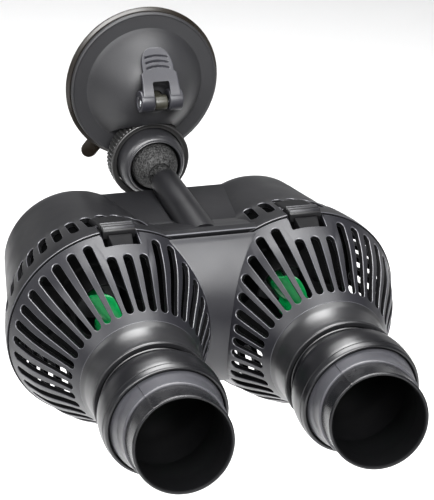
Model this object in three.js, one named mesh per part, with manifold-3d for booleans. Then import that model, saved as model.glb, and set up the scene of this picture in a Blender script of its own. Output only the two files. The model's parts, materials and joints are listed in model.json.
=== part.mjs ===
// Twin-head circulation pump for an aquarium, on a lever-locked suction mount with a ball joint.
// Millimetres, +Z up. The origin is the centre of the suction cup's glass face: the glass is the plane y = 0,
// +Y goes into the glass, and the pump hangs on the -Y side. The pump itself is drawn in a frame of its own:
// y = 0 at the parting plane of its casing, -y the way the water leaves, and the two heads at x = +-HEAD_X.
import * as THREE from "three";
import Module from "manifold-3d";
import { mergeVertices } from "three/addons/utils/BufferGeometryUtils.js";

const wasm = await Module();
wasm.setup();

// ---------- driving dimensions ----------
const DEG = Math.PI / 180;
const GAP = 0.3; // clearance between touching pieces
const SIDES = [["left", -1], ["right", 1]];

// pump casing
const HEAD_X = 42; // half the spacing of the two heads
const FLANGE_R = 46.4; // front edge of the rear housing
const SHOULDER = [[45.6, 5], [43.8, 12.6], [41.8, 19.3]]; // radius, y
const BARREL_FRONT_R = 39.1;
const BARREL_FRONT_Y = 25.5;
const BARREL_REAR_R = 31;
const BARREL_REAR_Y = 61;
const BARREL_END_R = 28.6;
const BARREL_END_Y = 67.6;
const VENT_HALF = 2.1; // half the width of a vent slot in the shoulder
const VENT_Y = [8.5, 26]; // where a vent slot starts and ends
const VENT_PHASE = { left: 1, right: 5 }; // degrees
const WALL = 2.3;
const WEB_TOP_FRONT_Z = 41.2; // height of the web at the parting plane
const WEB_FLOOR_Z = 27.5; // channel beside the arm
const WEB_BOTTOM_Z = -28;
const WEB_REAR_Y = 66;
const WEB_HALF_X = 27;

// cages of the front cover: radius against distance in front of the parting plane
const CAGE = [
  [0.3, 45.9], [3, 44.9], [8.6, 43], [15.3, 40.7], [22, 37.5], [28.6, 33.7], [35.3, 30], [42.4, 26.4],
];
const SLOT_COUNT = 36;
const SLOT_TIP_OUT = 3.8;
const SLOT_TIP_LATCH = 12.6;
const SLOT_TIP_IN = 38.3;
const SLOT_WIDE_OUT = 4;
const SLOT_WIDE_IN = 3.3;
const PANEL_DEPTH = 21.5; // how far the panel between the heads stands forward
const PANEL_TOP_Z = WEB_TOP_FRONT_Z - 1.6;
const NECK_BORE_R = 23.8; // front opening of a cage

// nozzle socket, collar and nozzle of each head: two ball joints in series
const SOCKET_BACK_Y = -42.7;
const SOCKET_RIM_Y = -57.7;
const COLLAR_PIVOT_Y = -50;
const COLLAR_BALL_R = 23.1;
const COLLAR_SHOULDER = 9.9; // from the collar's pivot to its outer shoulder
const COLLAR_RIM = 28.3; // from the collar's pivot to its front rim
const NOZZLE_PIVOT = 24; // from the collar's pivot to the nozzle's
const NOZZLE_BALL_R = 24.6;
const NOZZLE_STEP = 20.4;
const NOZZLE_LENGTH = 32.7;
const NOZZLE_MOUTH_R = 20.9;
const NOZZLE_BORE_R = 19.4;
const AIM = {
  left: { collarPan: 0, nozzlePan: -5, nozzleTilt: 13 },
  right: { collarPan: 2.2, nozzlePan: -9.5, nozzleTilt: 13 },
};

// motor and impeller
const CAN_FLANGE_R = 35.4;
const CAN_R = 13.6;
const CAN_FLANGE_Y = [27.2, 29.3]; // the wall that closes the motor's chamber
const CAN_FRONT_Y = 10.5;
const CAN_END_Y = 57;
const SHAFT_R = 1.5;
const MAGNET_R = 11.4;
const IMPELLER_R = 22;
const IMPELLER_FRONT_Y = -17;
const BLADES = 3;

// suction mount
const CUP_R = 36.1;
const CUP_EDGE = 1.1;
const TAB_HALF = 3.9; // half the width of the cup's pull tab
const TAB_ANGLE = -142; // degrees round from straight up
const SHELL_R = 34.4;
const SHELL_BACK = 1.9; // from the glass to the shell's rim
const SHELL_FACE = 4.3; // from the glass to the shell's flat face
const DOME_R = 27;
const DOME_TOP = 21.2;
const LEVER_PIVOT = 26.5; // from the glass to the lever's pin
const LEVER_WIDE = 19.6; // across the knuckles
const PLATE_HALF = 8.5; // half the width of its plate
const KNUCKLE_GAP = 6.8;
const KNUCKLE_R = 4.9;
const NOTCH_TOP_Z = 8.3;
const PIN_R = 1.4;
const BALL_Y = -21.8; // centre of the ball joint
const BALL_Z = -31.9;
const BALL_R = 10.9;
const SOCKET_R = 15.4; // outside of the collet that the ball presses into
const NUT_R = 18.4;
const NUT_FRONT = -17.1;
const NUT_BACK = -8.1;

// where the ball sits in the pump's frame, and how far the pump's nose points down
const BALL_IN_PUMP = new THREE.Vector3(0, 79, 32.1);
const PUMP_TILT = 5.76 * DEG;

// ---------- materials ----------
const finish = (color, roughness, metalness = 0) =>
  new THREE.MeshStandardMaterial({ color, roughness, metalness });
const charcoal = finish(0x4b4c52, 0.5);
const gloss = finish(0x3c3d42, 0.25);
const rubber = finish(0x2b2823, 0.6);
const grained = finish(0x6a6a6a, 0.8);
const nutBlack = finish(0x35353a, 0.4);
const steel = finish(0xc4c6c8, 0.3, 1);
const green = finish(0x0aa05a, 0.3);
const ceramic = finish(0xe8e6df, 0.3);
const copper = finish(0xb8643a, 0.35, 1);
const iron = finish(0x77797c, 0.5, 1);
const ferrite = finish(0x26272a, 0.6);
const resin = finish(0x1b1c1e, 0.4);
const olive = finish(0x8c8c7c, 0.5);

// ---------- building blocks ----------
const V2 = (x, y) => new THREE.Vector2(x, y);
const AXIS_X = new THREE.Vector3(1, 0, 0);
const AXIS_Y = new THREE.Vector3(0, 1, 0);
const AXIS_Z = new THREE.Vector3(0, 0, 1);

// A geometry as a manifold-3d solid, turned so that its faces point out.
function solid(geometry) {
  const g = geometry.clone();
  g.deleteAttribute("normal");
  g.deleteAttribute("uv");
  const merged = mergeVertices(g, 1e-4);
  const p = merged.attributes.position;
  const raw = merged.index.array;
  const triVerts = [];
  let volume = 0;
  const a = new THREE.Vector3();
  const b = new THREE.Vector3();
  const c = new THREE.Vector3();
  for (let i = 0; i < raw.length; i += 3) {
    const [i0, i1, i2] = [raw[i], raw[i + 1], raw[i + 2]];
    if (i0 === i1 || i1 === i2 || i0 === i2) continue;
    a.fromBufferAttribute(p, i0);
    b.fromBufferAttribute(p, i1);
    c.fromBufferAttribute(p, i2);
    volume += a.dot(b.cross(c));
    triVerts.push(i0, i1, i2);
  }
  if (volume < 0) triVerts.reverse();
  const mesh = new wasm.Mesh({ numProp: 3, vertProperties: p.array, triVerts: new Uint32Array(triVerts) });
  return new wasm.Manifold(mesh);
}

// A manifold-3d solid back as a three.js geometry.
function geometryOf(body) {
  const mesh = body.getMesh();
  const g = new THREE.BufferGeometry();
  g.setAttribute("position", new THREE.BufferAttribute(Float32Array.from(mesh.vertProperties), 3));
  g.setIndex(new THREE.BufferAttribute(Uint32Array.from(mesh.triVerts), 1));
  g.computeVertexNormals();
  return g;
}

// A body of revolution about the y axis: points are [radius, y], closed on itself or on the axis.
function turned(points, segments = 26) {
  const outline = points.map(([r, y]) => V2(r, y));
  const onAxis = points[0][0] === 0 && points[points.length - 1][0] === 0;
  if (!onAxis) outline.push(outline[0].clone());
  return solid(new THREE.LatheGeometry(outline, segments));
}

// An outline in the y-z plane, given as [y, z], extruded along x from x0 to x1.
function sideways(points, x0, x1) {
  const shape = new THREE.Shape(points.map(([y, z]) => V2(y, z)));
  const g = new THREE.ExtrudeGeometry(shape, { depth: x1 - x0, bevelEnabled: false });
  g.applyMatrix4(new THREE.Matrix4().makeBasis(AXIS_Y, AXIS_Z, AXIS_X));
  return solid(g.translate(x0, 0, 0));
}

// An outline in the x-z plane, given as a Shape, extruded along y from y0 to y1.
function along(shape, y0, y1, curveSegments = 12) {
  const g = new THREE.ExtrudeGeometry(shape, { depth: y1 - y0, bevelEnabled: false, curveSegments });
  g.applyMatrix4(new THREE.Matrix4().makeBasis(AXIS_X, AXIS_Z, AXIS_Y));
  return solid(g.translate(0, y0, 0));
}

function box(x0, x1, y0, y1, z0, z1) {
  const g = new THREE.BoxGeometry(x1 - x0, y1 - y0, z1 - z0);
  return solid(g.translate((x0 + x1) / 2, (y0 + y1) / 2, (z0 + z1) / 2));
}

// A plain cylinder about the y axis.
const rod = (r, y0, y1, segments = 20) => turned([[0, y0], [r, y0], [r, y1], [0, y1]], segments);

const moved = (body, x, y, z) => body.translate([x, y, z]);
const turnedBy = (body, rx, ry, rz) => body.rotate([rx, ry, rz]);

// Points [radius, y] on a sphere about y = centre, from one offset along the axis to another, evenly turned.
function sphereArc(radius, centre, from, to, steps) {
  const [start, end] = [Math.acos(from / radius), Math.acos(to / radius)];
  const out = [];
  for (let i = 0; i <= steps; i++) {
    const turn = start + ((end - start) * i) / steps;
    out.push([radius * Math.sin(turn), centre + radius * Math.cos(turn)]);
  }
  return out;
}

function piece(name, body, material, parent, place = [0, 0, 0]) {
  const mesh = new THREE.Mesh(body.isBufferGeometry ? body : geometryOf(body), material);
  mesh.name = name;
  mesh.position.set(...place);
  parent.add(mesh);
  return mesh;
}

// ---------- pump casing ----------
const cageRadius = (depth) => {
  const i = Math.max(CAGE.findIndex(([d]) => d >= depth), 1);
  const [d0, r0] = CAGE[i - 1];
  const [d1, r1] = CAGE[i];
  return r0 + ((r1 - r0) * (depth - d0)) / (d1 - d0);
};
const panelDepth = (z) => PANEL_DEPTH * (1 - (z / WEB_TOP_FRONT_Z) ** 2);

// How far forward the panel covers a cage at an angle from the line between the heads.
function coveredDepth(angle) {
  let depth = 0;
  for (let d = 0.5; d < SLOT_TIP_IN; d += 0.5) {
    const r = cageRadius(d);
    const covered = r * Math.cos(angle) > HEAD_X - WEB_HALF_X && panelDepth(r * Math.sin(angle)) > d;
    if (covered) depth = d;
  }
  return depth;
}

// One slotted cage about its own axis. inward is the direction of the other head: +1 or -1 along x.
function cage(inward) {
  const last = CAGE.length - 1;
  const columns = [];
  for (let k = 0; k < SLOT_COUNT; k++) {
    const angle = (k * 2 * Math.PI) / SLOT_COUNT;
    const fromTop = Math.abs(Math.atan2(Math.cos(angle), Math.sin(angle)));
    const fromOther = Math.atan2(Math.sin(angle), inward * Math.cos(angle));
    const besidePanel = Math.abs(fromOther) < 60 * DEG ? 2 : 0;
    const covered = coveredDepth(Math.abs(fromOther)) + besidePanel;
    const tip = Math.max(fromTop < 12 * DEG ? SLOT_TIP_LATCH : SLOT_TIP_OUT, covered);
    const middle = (tip + SLOT_TIP_IN) / 2;
    const rows = [
      [CAGE[0][0], SLOT_WIDE_OUT],
      [tip, SLOT_WIDE_OUT],
      [middle, (SLOT_WIDE_OUT + SLOT_WIDE_IN) / 2],
      [SLOT_TIP_IN, SLOT_WIDE_IN],
      [CAGE[last][0], SLOT_WIDE_IN],
    ];
    for (const side of [-1, 1]) {
      const line = rows.map(([depth, wide], s) => {
        const r = cageRadius(depth);
        const a = angle + (side * wide) / 2 / r;
        const inner = s === rows.length - 1 ? NECK_BORE_R : r - WALL;
        return [r * Math.cos(a), -depth, r * Math.sin(a), inner * Math.cos(a), -depth, inner * Math.sin(a)];
      });
      columns.push(line);
    }
  }
  return closedCage(columns, columns[0].length - 1);
}

// Joins lines of skin and lining points into one closed solid, open between every other pair of lines.
function closedCage(columns, stations) {
  const xyz = [];
  const index = [];
  const at = (c, s, skin) => (((c + columns.length) % columns.length) * (stations + 1) + s) * 2 + skin;
  for (const line of columns) for (const row of line) xyz.push(...row);
  const quad = (a, b, c, d) => index.push(a, b, c, a, c, d);
  for (let c = 0; c < columns.length; c++) {
    for (let s = 0; s < stations; s++) {
      const open = c % 2 === 0 && s > 0 && s < stations - 1;
      if (!open) {
        quad(at(c, s, 0), at(c + 1, s, 0), at(c + 1, s + 1, 0), at(c, s + 1, 0));
        quad(at(c, s, 1), at(c, s + 1, 1), at(c + 1, s + 1, 1), at(c + 1, s, 1));
      } else {
        quad(at(c, s, 0), at(c, s, 1), at(c, s + 1, 1), at(c, s + 1, 0));
        quad(at(c + 1, s, 0), at(c + 1, s + 1, 0), at(c + 1, s + 1, 1), at(c + 1, s, 1));
        if (s === 1) quad(at(c, s, 0), at(c + 1, s, 0), at(c + 1, s, 1), at(c, s, 1));
        if (s === stations - 2) {
          quad(at(c, s + 1, 0), at(c, s + 1, 1), at(c + 1, s + 1, 1), at(c + 1, s + 1, 0));
        }
      }
    }
    quad(at(c, 0, 0), at(c, 0, 1), at(c + 1, 0, 1), at(c + 1, 0, 0));
    quad(at(c, stations, 0), at(c + 1, stations, 0), at(c + 1, stations, 1), at(c, stations, 1));
  }
  const g = new THREE.BufferGeometry();
  g.setAttribute("position", new THREE.BufferAttribute(new Float32Array(xyz), 3));
  g.setIndex(index);
  return solid(g);
}

// The space inside one cage, as a solid to cut away.
function cageInside() {
  const [frontDepth] = CAGE[CAGE.length - 1];
  const outline = CAGE.slice(0, -1).map(([d, r]) => [r - WALL, -d]);
  const neck = [[NECK_BORE_R, -frontDepth], [NECK_BORE_R, -60], [0, -60]];
  return turned([[0, 1], [CAGE[0][1] - WALL, 1], ...outline, ...neck], 36);
}

// Points [y, z] down the panel between the heads, set back by inset.
function panelLine(lowZ, highZ, steps, inset) {
  const out = [];
  for (let i = 0; i <= steps; i++) {
    const z = highZ + ((lowZ - highZ) * i) / steps;
    out.push([Math.min(-panelDepth(z) + inset, -GAP - 0.01), z]);
  }
  return out;
}

function frontCover() {
  const skin = panelLine(WEB_BOTTOM_Z, PANEL_TOP_Z, 8, 0);
  const lining = panelLine(WEB_BOTTOM_Z + WALL, PANEL_TOP_Z - 2 * WALL, 5, WALL);
  const outline = [
    [-GAP, PANEL_TOP_Z], ...skin, [-GAP, WEB_BOTTOM_Z],
    [-GAP, WEB_BOTTOM_Z + WALL], ...lining.reverse(), [-GAP, PANEL_TOP_Z - 2 * WALL],
  ];
  let panel = sideways(outline, -WEB_HALF_X, WEB_HALF_X);
  const inside = cageInside();
  for (const [, side] of SIDES) panel = panel.subtract(moved(inside, side * HEAD_X, 0, 0));
  let cover = panel;
  for (const [, side] of SIDES) {
    const half = side < 0 ? box(-120, 0, -60, 5, -60, 60) : box(0, 120, -60, 5, -60, 60);
    let one = moved(cage(-side), side * HEAD_X, 0, 0).intersect(half);
    one = one.subtract(moved(latchRecess(), side * HEAD_X, 0, 0));
    cover = cover.add(one);
  }
  return cover;
}

// ---------- latches ----------
const LATCH_HALF = 7.2;
const LATCH_SLOT_HALF = LATCH_HALF + 0.6;
const latchProfile = [
  [6.6, 44], [6.6, 46.9], [5, 47.5], [4.4, 47], [3.6, 47.6], [3, 47.1], [2.2, 47.7],
  [1.6, 47.2], [0.8, 47.8], [-1.6, 47.6], [-1.6, 43.9], [-0.4, 43.9], [0.6, 44.2],
];

function latchRecess() {
  const outline = [[1, 52], [1, 43.4], [-2.4, 43.4], [-7.4, 43.6], [-7.4, 52]];
  return sideways(outline, -LATCH_SLOT_HALF, LATCH_SLOT_HALF);
}

// ---------- rear housing ----------
const barrelOutline = [
  [FLANGE_R, 0], ...SHOULDER, [BARREL_FRONT_R, BARREL_FRONT_Y], [BARREL_REAR_R, BARREL_REAR_Y],
  [BARREL_REAR_R - 1, BARREL_END_Y - 2.6], [BARREL_END_R, BARREL_END_Y],
];
const barrelInside = [
  [0, -1], [FLANGE_R - 3.6, -1], [FLANGE_R - 3.9, 4], [FLANGE_R - 6.2, 15],
  [BARREL_FRONT_R - WALL, BARREL_FRONT_Y], [BARREL_REAR_R - WALL, BARREL_REAR_Y - 4],
  [26.6, BARREL_REAR_Y - 3.9], [26.6, BARREL_END_Y + 1], [0, BARREL_END_Y + 1],
];
const ARM_R = 6;
const ARM_TIP_Y = 63;
const STUB_R = 3; // stub on the ball that presses into the arm
const STUB_Y0 = -17.6; // the stub's end, from the ball's centre
const PLATEAU_INNER_X = 7.4; // inner edge of the two raised pads beside the arm
const CORD_HOLE_R = 3.4;

// The vent slots through one barrel's shoulder, as solids to cut away; the web and the latch leave some out.
function vents(name, side) {
  const [y0, y1] = VENT_Y;
  const slot = box(34, 50, y0, y1, -VENT_HALF, VENT_HALF);
  const all = [];
  for (let a = VENT_PHASE[name]; a < 360; a += 10) {
    const besideWeb = side * Math.cos(a * DEG) < -0.26;
    const besideLatch = Math.abs(a - 90) < 10;
    if (!besideWeb && !besideLatch) all.push(moved(turnedBy(slot, 0, -a, 0), side * HEAD_X, 0, 0));
  }
  return all;
}

function rearHousing() {
  const band = [[0, WEB_TOP_FRONT_Z], [5.6, 40.6], [6.1, 39.9], [12, 38.2], [20, 34.6], [29, 30.4]];
  const webOutline = [
    ...band, [30, WEB_FLOOR_Z], [WEB_REAR_Y, WEB_FLOOR_Z - 2.5], [WEB_REAR_Y, WEB_BOTTOM_Z + 4],
    [0, WEB_BOTTOM_Z],
  ];
  let body = sideways(webOutline, -WEB_HALF_X, WEB_HALF_X);
  const plateau = [[27, 32.6], [WEB_REAR_Y - 0.6, 26.8], [WEB_REAR_Y - 0.6, 20], [27, 20]];
  const barrel = turned([[0, 0], ...barrelOutline, [0, BARREL_END_Y]], 36);
  for (const [, side] of SIDES) {
    const edges = [side * PLATEAU_INNER_X, side * (WEB_HALF_X + 2)].sort((a, b) => a - b);
    body = body.add(sideways(plateau, ...edges));
    body = body.add(moved(barrel, side * HEAD_X, 0, 0));
  }
  const arm = [
    [0, 10], [ARM_R + 1.2, 10], [ARM_R + 0.5, 34], [ARM_R - 0.2, ARM_TIP_Y - 1],
    [ARM_R - 1, ARM_TIP_Y], [0, ARM_TIP_Y],
  ];
  body = body.add(moved(turned(arm, 20), 0, 0, BALL_IN_PUMP.z));
  body = body.subtract(moved(rod(STUB_R + GAP, ARM_TIP_Y - 9, ARM_TIP_Y + 1), 0, 0, BALL_IN_PUMP.z));
  const pocket = [
    [-1, WEB_TOP_FRONT_Z - 3], [6, 36.5], [24, 27], [WEB_REAR_Y - WALL, 21],
    [WEB_REAR_Y - WALL, WEB_BOTTOM_Z + 4 + WALL], [-1, WEB_BOTTOM_Z + WALL],
  ];
  body = body.subtract(sideways(pocket, -8, 8));
  body = body.subtract(rod(CORD_HOLE_R, WEB_REAR_Y - 5, WEB_REAR_Y + 2));
  const notch = box(-LATCH_HALF - 0.4, LATCH_HALF + 0.4, -1, 7, 43.6, 52);
  for (const [name, side] of SIDES) {
    for (const vent of vents(name, side)) body = body.subtract(vent);
    body = body.subtract(moved(turned(barrelInside, 28), side * HEAD_X, 0, 0));
    body = body.subtract(moved(notch, side * HEAD_X, 0, 0));
  }
  return body;
}

// ---------- motor and impeller of one head, about the head's axis ----------
function motor(side, parent) {
  const place = (name, body, material) => piece(`${side}_${name}`, body, material, parent);
  const can = [
    [0, CAN_END_Y], [CAN_R, CAN_END_Y], [CAN_R, CAN_FLANGE_Y[1]], [CAN_FLANGE_R, CAN_FLANGE_Y[1]],
    [CAN_FLANGE_R, CAN_FLANGE_Y[0]], [CAN_R, CAN_FLANGE_Y[0]], [CAN_R, CAN_FRONT_Y],
    [CAN_R - 1, CAN_FRONT_Y], [CAN_R - 1, CAN_END_Y - 1.5], [3.6, CAN_END_Y - 1.5], [3.6, CAN_END_Y - 5.5],
    [2.6, CAN_END_Y - 5.5], [2.6, CAN_END_Y - 1.2], [0, CAN_END_Y - 1.2],
  ];
  const tube = (inner, outer, y0, y1, segments) =>
    turned([[inner, y0], [outer, y0], [outer, y1], [inner, y1]], segments);
  place("motor_can", turned(can, 20), charcoal);
  place("rear_bush", tube(SHAFT_R + 0.05, 2.4, CAN_END_Y - 5.4, CAN_END_Y - 2.4, 14), rubber);
  place("shaft", rod(SHAFT_R, -39.5, CAN_END_Y - 2.6, 14), ceramic);
  place("rotor_magnet", tube(4.4, MAGNET_R, 24, 48.6, 20), ferrite);
  place("stator_core", statorCore(), iron);
  place("stator_coil", tube(CAN_R + 1.3, 23.4, 48.5, 56.5, 20), copper);
  place("potting", rod(26.2, 59.2, 66.4, 28), resin);
  place("impeller", impeller(), green);
  place("front_bush", tube(SHAFT_R + 0.05, 2.6, -39.2, -35.4, 14), rubber);
  place("shaft_support", shaftSupport(), charcoal);
}

function statorCore() {
  const ring = rod(26.2, 31, 47, 28);
  const slot = new THREE.Shape([V2(9, -4.2), V2(22, -9), V2(22, 9), V2(9, 4.2)]);
  let core = ring.subtract(rod(CAN_R + GAP, 30, 48, 28));
  for (let i = 0; i < 4; i++) core = core.subtract(turnedBy(along(slot, 30, 48), 0, 45 + 90 * i, 0));
  return core;
}

function impeller() {
  const bore = SHAFT_R + 0.3;
  const hub = [
    [bore, IMPELLER_FRONT_Y], [3.6, IMPELLER_FRONT_Y], [6.2, IMPELLER_FRONT_Y + 2.4],
    [7, IMPELLER_FRONT_Y + 6], [7, 2], [3.9, 2], [3.9, 49], [bore, 49],
  ];
  let body = turned(hub, 18);
  const blade = bladeSolid();
  for (let i = 0; i < BLADES; i++) body = body.add(turnedBy(blade, 0, (360 / BLADES) * i + 2, 0));
  return body;
}

// One twisted blade: a row of chord sections from hub to tip, each turned by its own pitch.
function bladeSolid() {
  const sections = 4;
  const middleY = (IMPELLER_FRONT_Y + 2) / 2;
  const xyz = [];
  for (let i = 0; i <= sections; i++) {
    const t = i / sections;
    const r = 5.5 + (IMPELLER_R - 5.5) * t;
    const chord = 10 + 6 * Math.sin(Math.PI * Math.min(t * 0.8 + 0.1, 1));
    const pitch = (58 - 26 * t) * DEG;
    const thick = 1.9 - 0.7 * t;
    const corners = [[-0.5, -0.1], [0, -0.5], [0.5, -0.1], [0.5, 0.1], [0, 0.5], [-0.5, 0.1]];
    for (const [u, v] of corners) {
      const round = u * chord * Math.cos(pitch) - v * thick * Math.sin(pitch);
      const axial = u * chord * Math.sin(pitch) + v * thick * Math.cos(pitch);
      const angle = round / Math.max(r, 9);
      xyz.push(r * Math.cos(angle), middleY + Math.max(-7.4, Math.min(7.4, axial)), r * Math.sin(angle));
    }
  }
  const n = 6;
  const index = [];
  for (let i = 0; i < sections; i++) {
    for (let k = 0; k < n; k++) {
      const [a, b] = [i * n + k, i * n + ((k + 1) % n)];
      index.push(a, b, b + n, a, b + n, a + n);
    }
  }
  for (let k = 1; k < n - 1; k++) {
    index.push(0, k + 1, k);
    index.push(sections * n, sections * n + k, sections * n + k + 1);
  }
  const g = new THREE.BufferGeometry();
  g.setAttribute("position", new THREE.BufferAttribute(new Float32Array(xyz), 3));
  g.setIndex(index);
  return solid(g);
}

function shaftSupport() {
  const ring = turned([[20.6, -38.1], [23.4, -38.1], [23.4, -34.6], [20.6, -34.6]], 28);
  const hub = turned([[2.9, -39], [4.6, -39], [4.6, -34.6], [2.9, -34.6]], 14);
  let body = ring.add(hub);
  for (let i = 0; i < 3; i++) {
    body = body.add(turnedBy(box(3.6, 21.4, -38.1, -34.9, -0.9, 0.9), 0, 30 + 120 * i, 0));
  }
  return body;
}

// ---------- nozzle socket, collar and nozzle ----------
const SOCKET_CAVITY_R = COLLAR_BALL_R + 0.4;
function nozzleSocket() {
  const rim = COLLAR_PIVOT_Y - SOCKET_RIM_Y;
  const back = SOCKET_BACK_Y - COLLAR_PIVOT_Y;
  const cavity = sphereArc(SOCKET_CAVITY_R, COLLAR_PIVOT_Y, -rim, back, 4);
  return turned([
    ...cavity, [22.4, SOCKET_BACK_Y + 4.2], [NECK_BORE_R - GAP, SOCKET_BACK_Y + 4.2],
    [NECK_BORE_R - GAP, SOCKET_BACK_Y], [26.3, SOCKET_BACK_Y], [25.3, SOCKET_BACK_Y - 3],
    [24.9, SOCKET_BACK_Y - 7], [25.1, SOCKET_BACK_Y - 12], [25.4, SOCKET_RIM_Y + 0.7],
    [25, SOCKET_RIM_Y], [22.9, SOCKET_RIM_Y],
  ]);
}

function collar() {
  const inner = sphereArc(NOZZLE_BALL_R + 0.4, -NOZZLE_PIVOT, NOZZLE_PIVOT - COLLAR_RIM, 11.4, 4);
  return turned([
    ...sphereArc(COLLAR_BALL_R, 0, 7.2, -COLLAR_SHOULDER + 0.2, 5), [22.9, -COLLAR_SHOULDER - 0.4],
    [24.6, -COLLAR_SHOULDER - 1.6], [26.2, -COLLAR_SHOULDER - 5], [26.9, -19.5], [26.8, -24],
    [26.2, -COLLAR_RIM + 0.4], [25.8, -COLLAR_RIM],
    ...inner, [19.8, -8.4], [19.8, 6.4], [20.6, 7.2],
  ]);
}

function nozzle() {
  const ballFront = sphereArc(NOZZLE_BALL_R, 0, 4.5, -10.4, 4);
  return turned([
    ...ballFront, [22.1, -14], [22.1, -NOZZLE_STEP + 0.6], [21.7, -NOZZLE_STEP],
    [21.1, -NOZZLE_STEP - 0.2], [20.7, -NOZZLE_LENGTH + 1.6],
    [NOZZLE_MOUTH_R + 0.1, -NOZZLE_LENGTH + 1.2], [NOZZLE_MOUTH_R, -NOZZLE_LENGTH + 0.2],
    [NOZZLE_BORE_R + 0.4, -NOZZLE_LENGTH], [NOZZLE_BORE_R, -NOZZLE_LENGTH + 1],
    [NOZZLE_BORE_R + 0.2, -14], [22, 4.1],
  ]);
}

// ---------- suction mount ----------
function suctionCup() {
  const disc = turned([
    [0, -2.9], [3.4, -2.9], [3.4, -5.8], [5.4, -5.8], [6, -3.5], [13, -3.4],
    [SHELL_R - 5, -1.6], [SHELL_R + 0.4, -SHELL_BACK + 0.2], [CUP_R, -CUP_EDGE],
    [CUP_R, -0.25], [CUP_R - 0.5, 0], [CUP_R - 5.5, 0], [CUP_R - 9, -0.7], [10, -1.6], [0, -1.8],
  ], 40);
  const tab = new THREE.Shape([V2(-TAB_HALF, 0), V2(-TAB_HALF, 4.8)]);
  tab.absarc(0, 4.8, TAB_HALF, Math.PI, 0, true);
  tab.lineTo(TAB_HALF, 0);
  const strip = moved(along(tab, -CUP_EDGE, -0.25, 6), 0, 0, CUP_R - 2);
  return disc.add(turnedBy(strip, 0, TAB_ANGLE, 0));
}

function cupShell() {
  const dome = [];
  const steps = 5;
  for (let i = 1; i <= steps; i++) {
    const t = i / steps;
    const r = DOME_R + (8.6 - DOME_R) * t;
    dome.push([r, -(SHELL_FACE + (DOME_TOP - SHELL_FACE) * Math.sin((t * Math.PI) / 2) ** 1.05)]);
  }
  const lining = dome.map(([r, y]) => [r - WALL * 0.9, y + WALL * 0.8]).filter(([, y]) => y < -4.5);
  const outside = turned([
    [0, -SHELL_BACK - GAP], [SHELL_R, -SHELL_BACK - GAP], [SHELL_R, -SHELL_FACE + 0.3],
    [SHELL_R - 0.5, -SHELL_FACE], [DOME_R + 0.4, -SHELL_FACE], ...dome, [0, -DOME_TOP],
  ], 36);
  const cavity = turned([
    [0, 1], [SHELL_R - 1.6, 1], [SHELL_R - 1.6, -SHELL_BACK - GAP - 0.1], [DOME_R + 1.2, -2.5],
    [DOME_R - 0.4, -3.9], ...lining, [0, -DOME_TOP + WALL * 0.8],
  ], 36);
  const column = (radius) => moved(rod(radius, -60, -SHELL_FACE, 28), 0, 0, BALL_Z);
  const boss = moved(rod(11, -5.9, -2.6, 24), 0, 0, BALL_Z);
  const skin = outside.subtract(column(NUT_R + 0.6)).add(boss);
  const hollow = cavity.subtract(column(NUT_R + 2.6)).subtract(boss);
  return skin.subtract(hollow).subtract(rod(3.4, -60, 1));
}

// The split collet that the ball presses into, with the stalk that joins it to the shell.
function ballSocket() {
  const inner = sphereArc(BALL_R + 1.6, 0, BALL_R + 1.6, -1.2, 6);
  const lip = [[BALL_R + 0.45, -2.6], [BALL_R + 1.5, -3.1], [13.6, -2.2], [15.2, 0.6]];
  const cup = turned([...inner, ...lip, [SOCKET_R, 4.2], [SOCKET_R, 12], [13.4, 15.6], [0, 15.6]], 28);
  return moved(cup, 0, BALL_Y, BALL_Z);
}

function clampNut() {
  const shape = new THREE.Shape();
  const ribs = 36;
  for (let i = 0; i < ribs * 2; i++) {
    const a = (i * Math.PI) / ribs;
    const r = i % 2 ? NUT_R - 0.5 : NUT_R;
    if (i) shape.lineTo(r * Math.cos(a), r * Math.sin(a));
    else shape.moveTo(r, 0);
  }
  const grip = along(shape, NUT_FRONT + 1.2, NUT_BACK);
  const rim = turned([
    [0, NUT_FRONT], [NUT_R - 0.4, NUT_FRONT], [NUT_R, NUT_FRONT + 0.5], [NUT_R, NUT_FRONT + 1.4],
    [0, NUT_FRONT + 1.4],
  ], 36);
  const bore = rod(SOCKET_R + GAP, NUT_FRONT - 1, NUT_BACK + 1, 28);
  return moved(grip.add(rim).subtract(bore), 0, 0, BALL_Z);
}

// A round bar about the x axis at the lever's pin.
const acrossPin = (r, half) => moved(turnedBy(rod(r, -half, half), 0, 0, 90), 0, -LEVER_PIVOT, 0);

// A curved lever that lies down the dome: its side outline in y and z, cut to a tapering plan.
function lockLever() {
  const top = [];
  const under = [];
  for (let i = 0; i <= 8; i++) {
    const t = i / 8;
    const z = 3.6 + 17.6 * t;
    const y = -29.9 + 14.9 * t ** 1.25;
    top.push([y, z]);
    under.push([y + 2.3 - 0.4 * t, z]);
  }
  const plate = sideways([...top, ...under.reverse()], -9, 9);
  const half = LEVER_WIDE / 2;
  const plan = new THREE.Shape([V2(-PLATE_HALF, -6), V2(PLATE_HALF, -6), V2(8.2, 8), V2(7.6, 12)]);
  plan.absarc(0, 13.7, 7.6, 0, Math.PI, false);
  plan.lineTo(-7.6, 12);
  plan.lineTo(-8.2, 8);
  const trimmed = plate.intersect(along(plan, -40, 0, 8));
  const knuckle = moved(acrossPin(KNUCKLE_R, half), 0, 0.2, 0.9);
  const bridge = sideways([[-30.6, 2], [-28.4, 6.5], [-25.8, 6.3], [-25, 2]], -PLATE_HALF, PLATE_HALF);
  const gap = box(-KNUCKLE_GAP / 2, KNUCKLE_GAP / 2, -36, -16, -8, NOTCH_TOP_Z);
  return trimmed.add(knuckle).add(bridge).subtract(gap).subtract(acrossPin(PIN_R + 0.15, 20));
}

function pullStem() {
  const head = acrossPin(3.4, 2.9);
  return rod(3, -24, -4.4).add(head).subtract(acrossPin(PIN_R + 0.15, 20));
}

// ---------- assembly ----------
const assembly = new THREE.Group();

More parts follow.
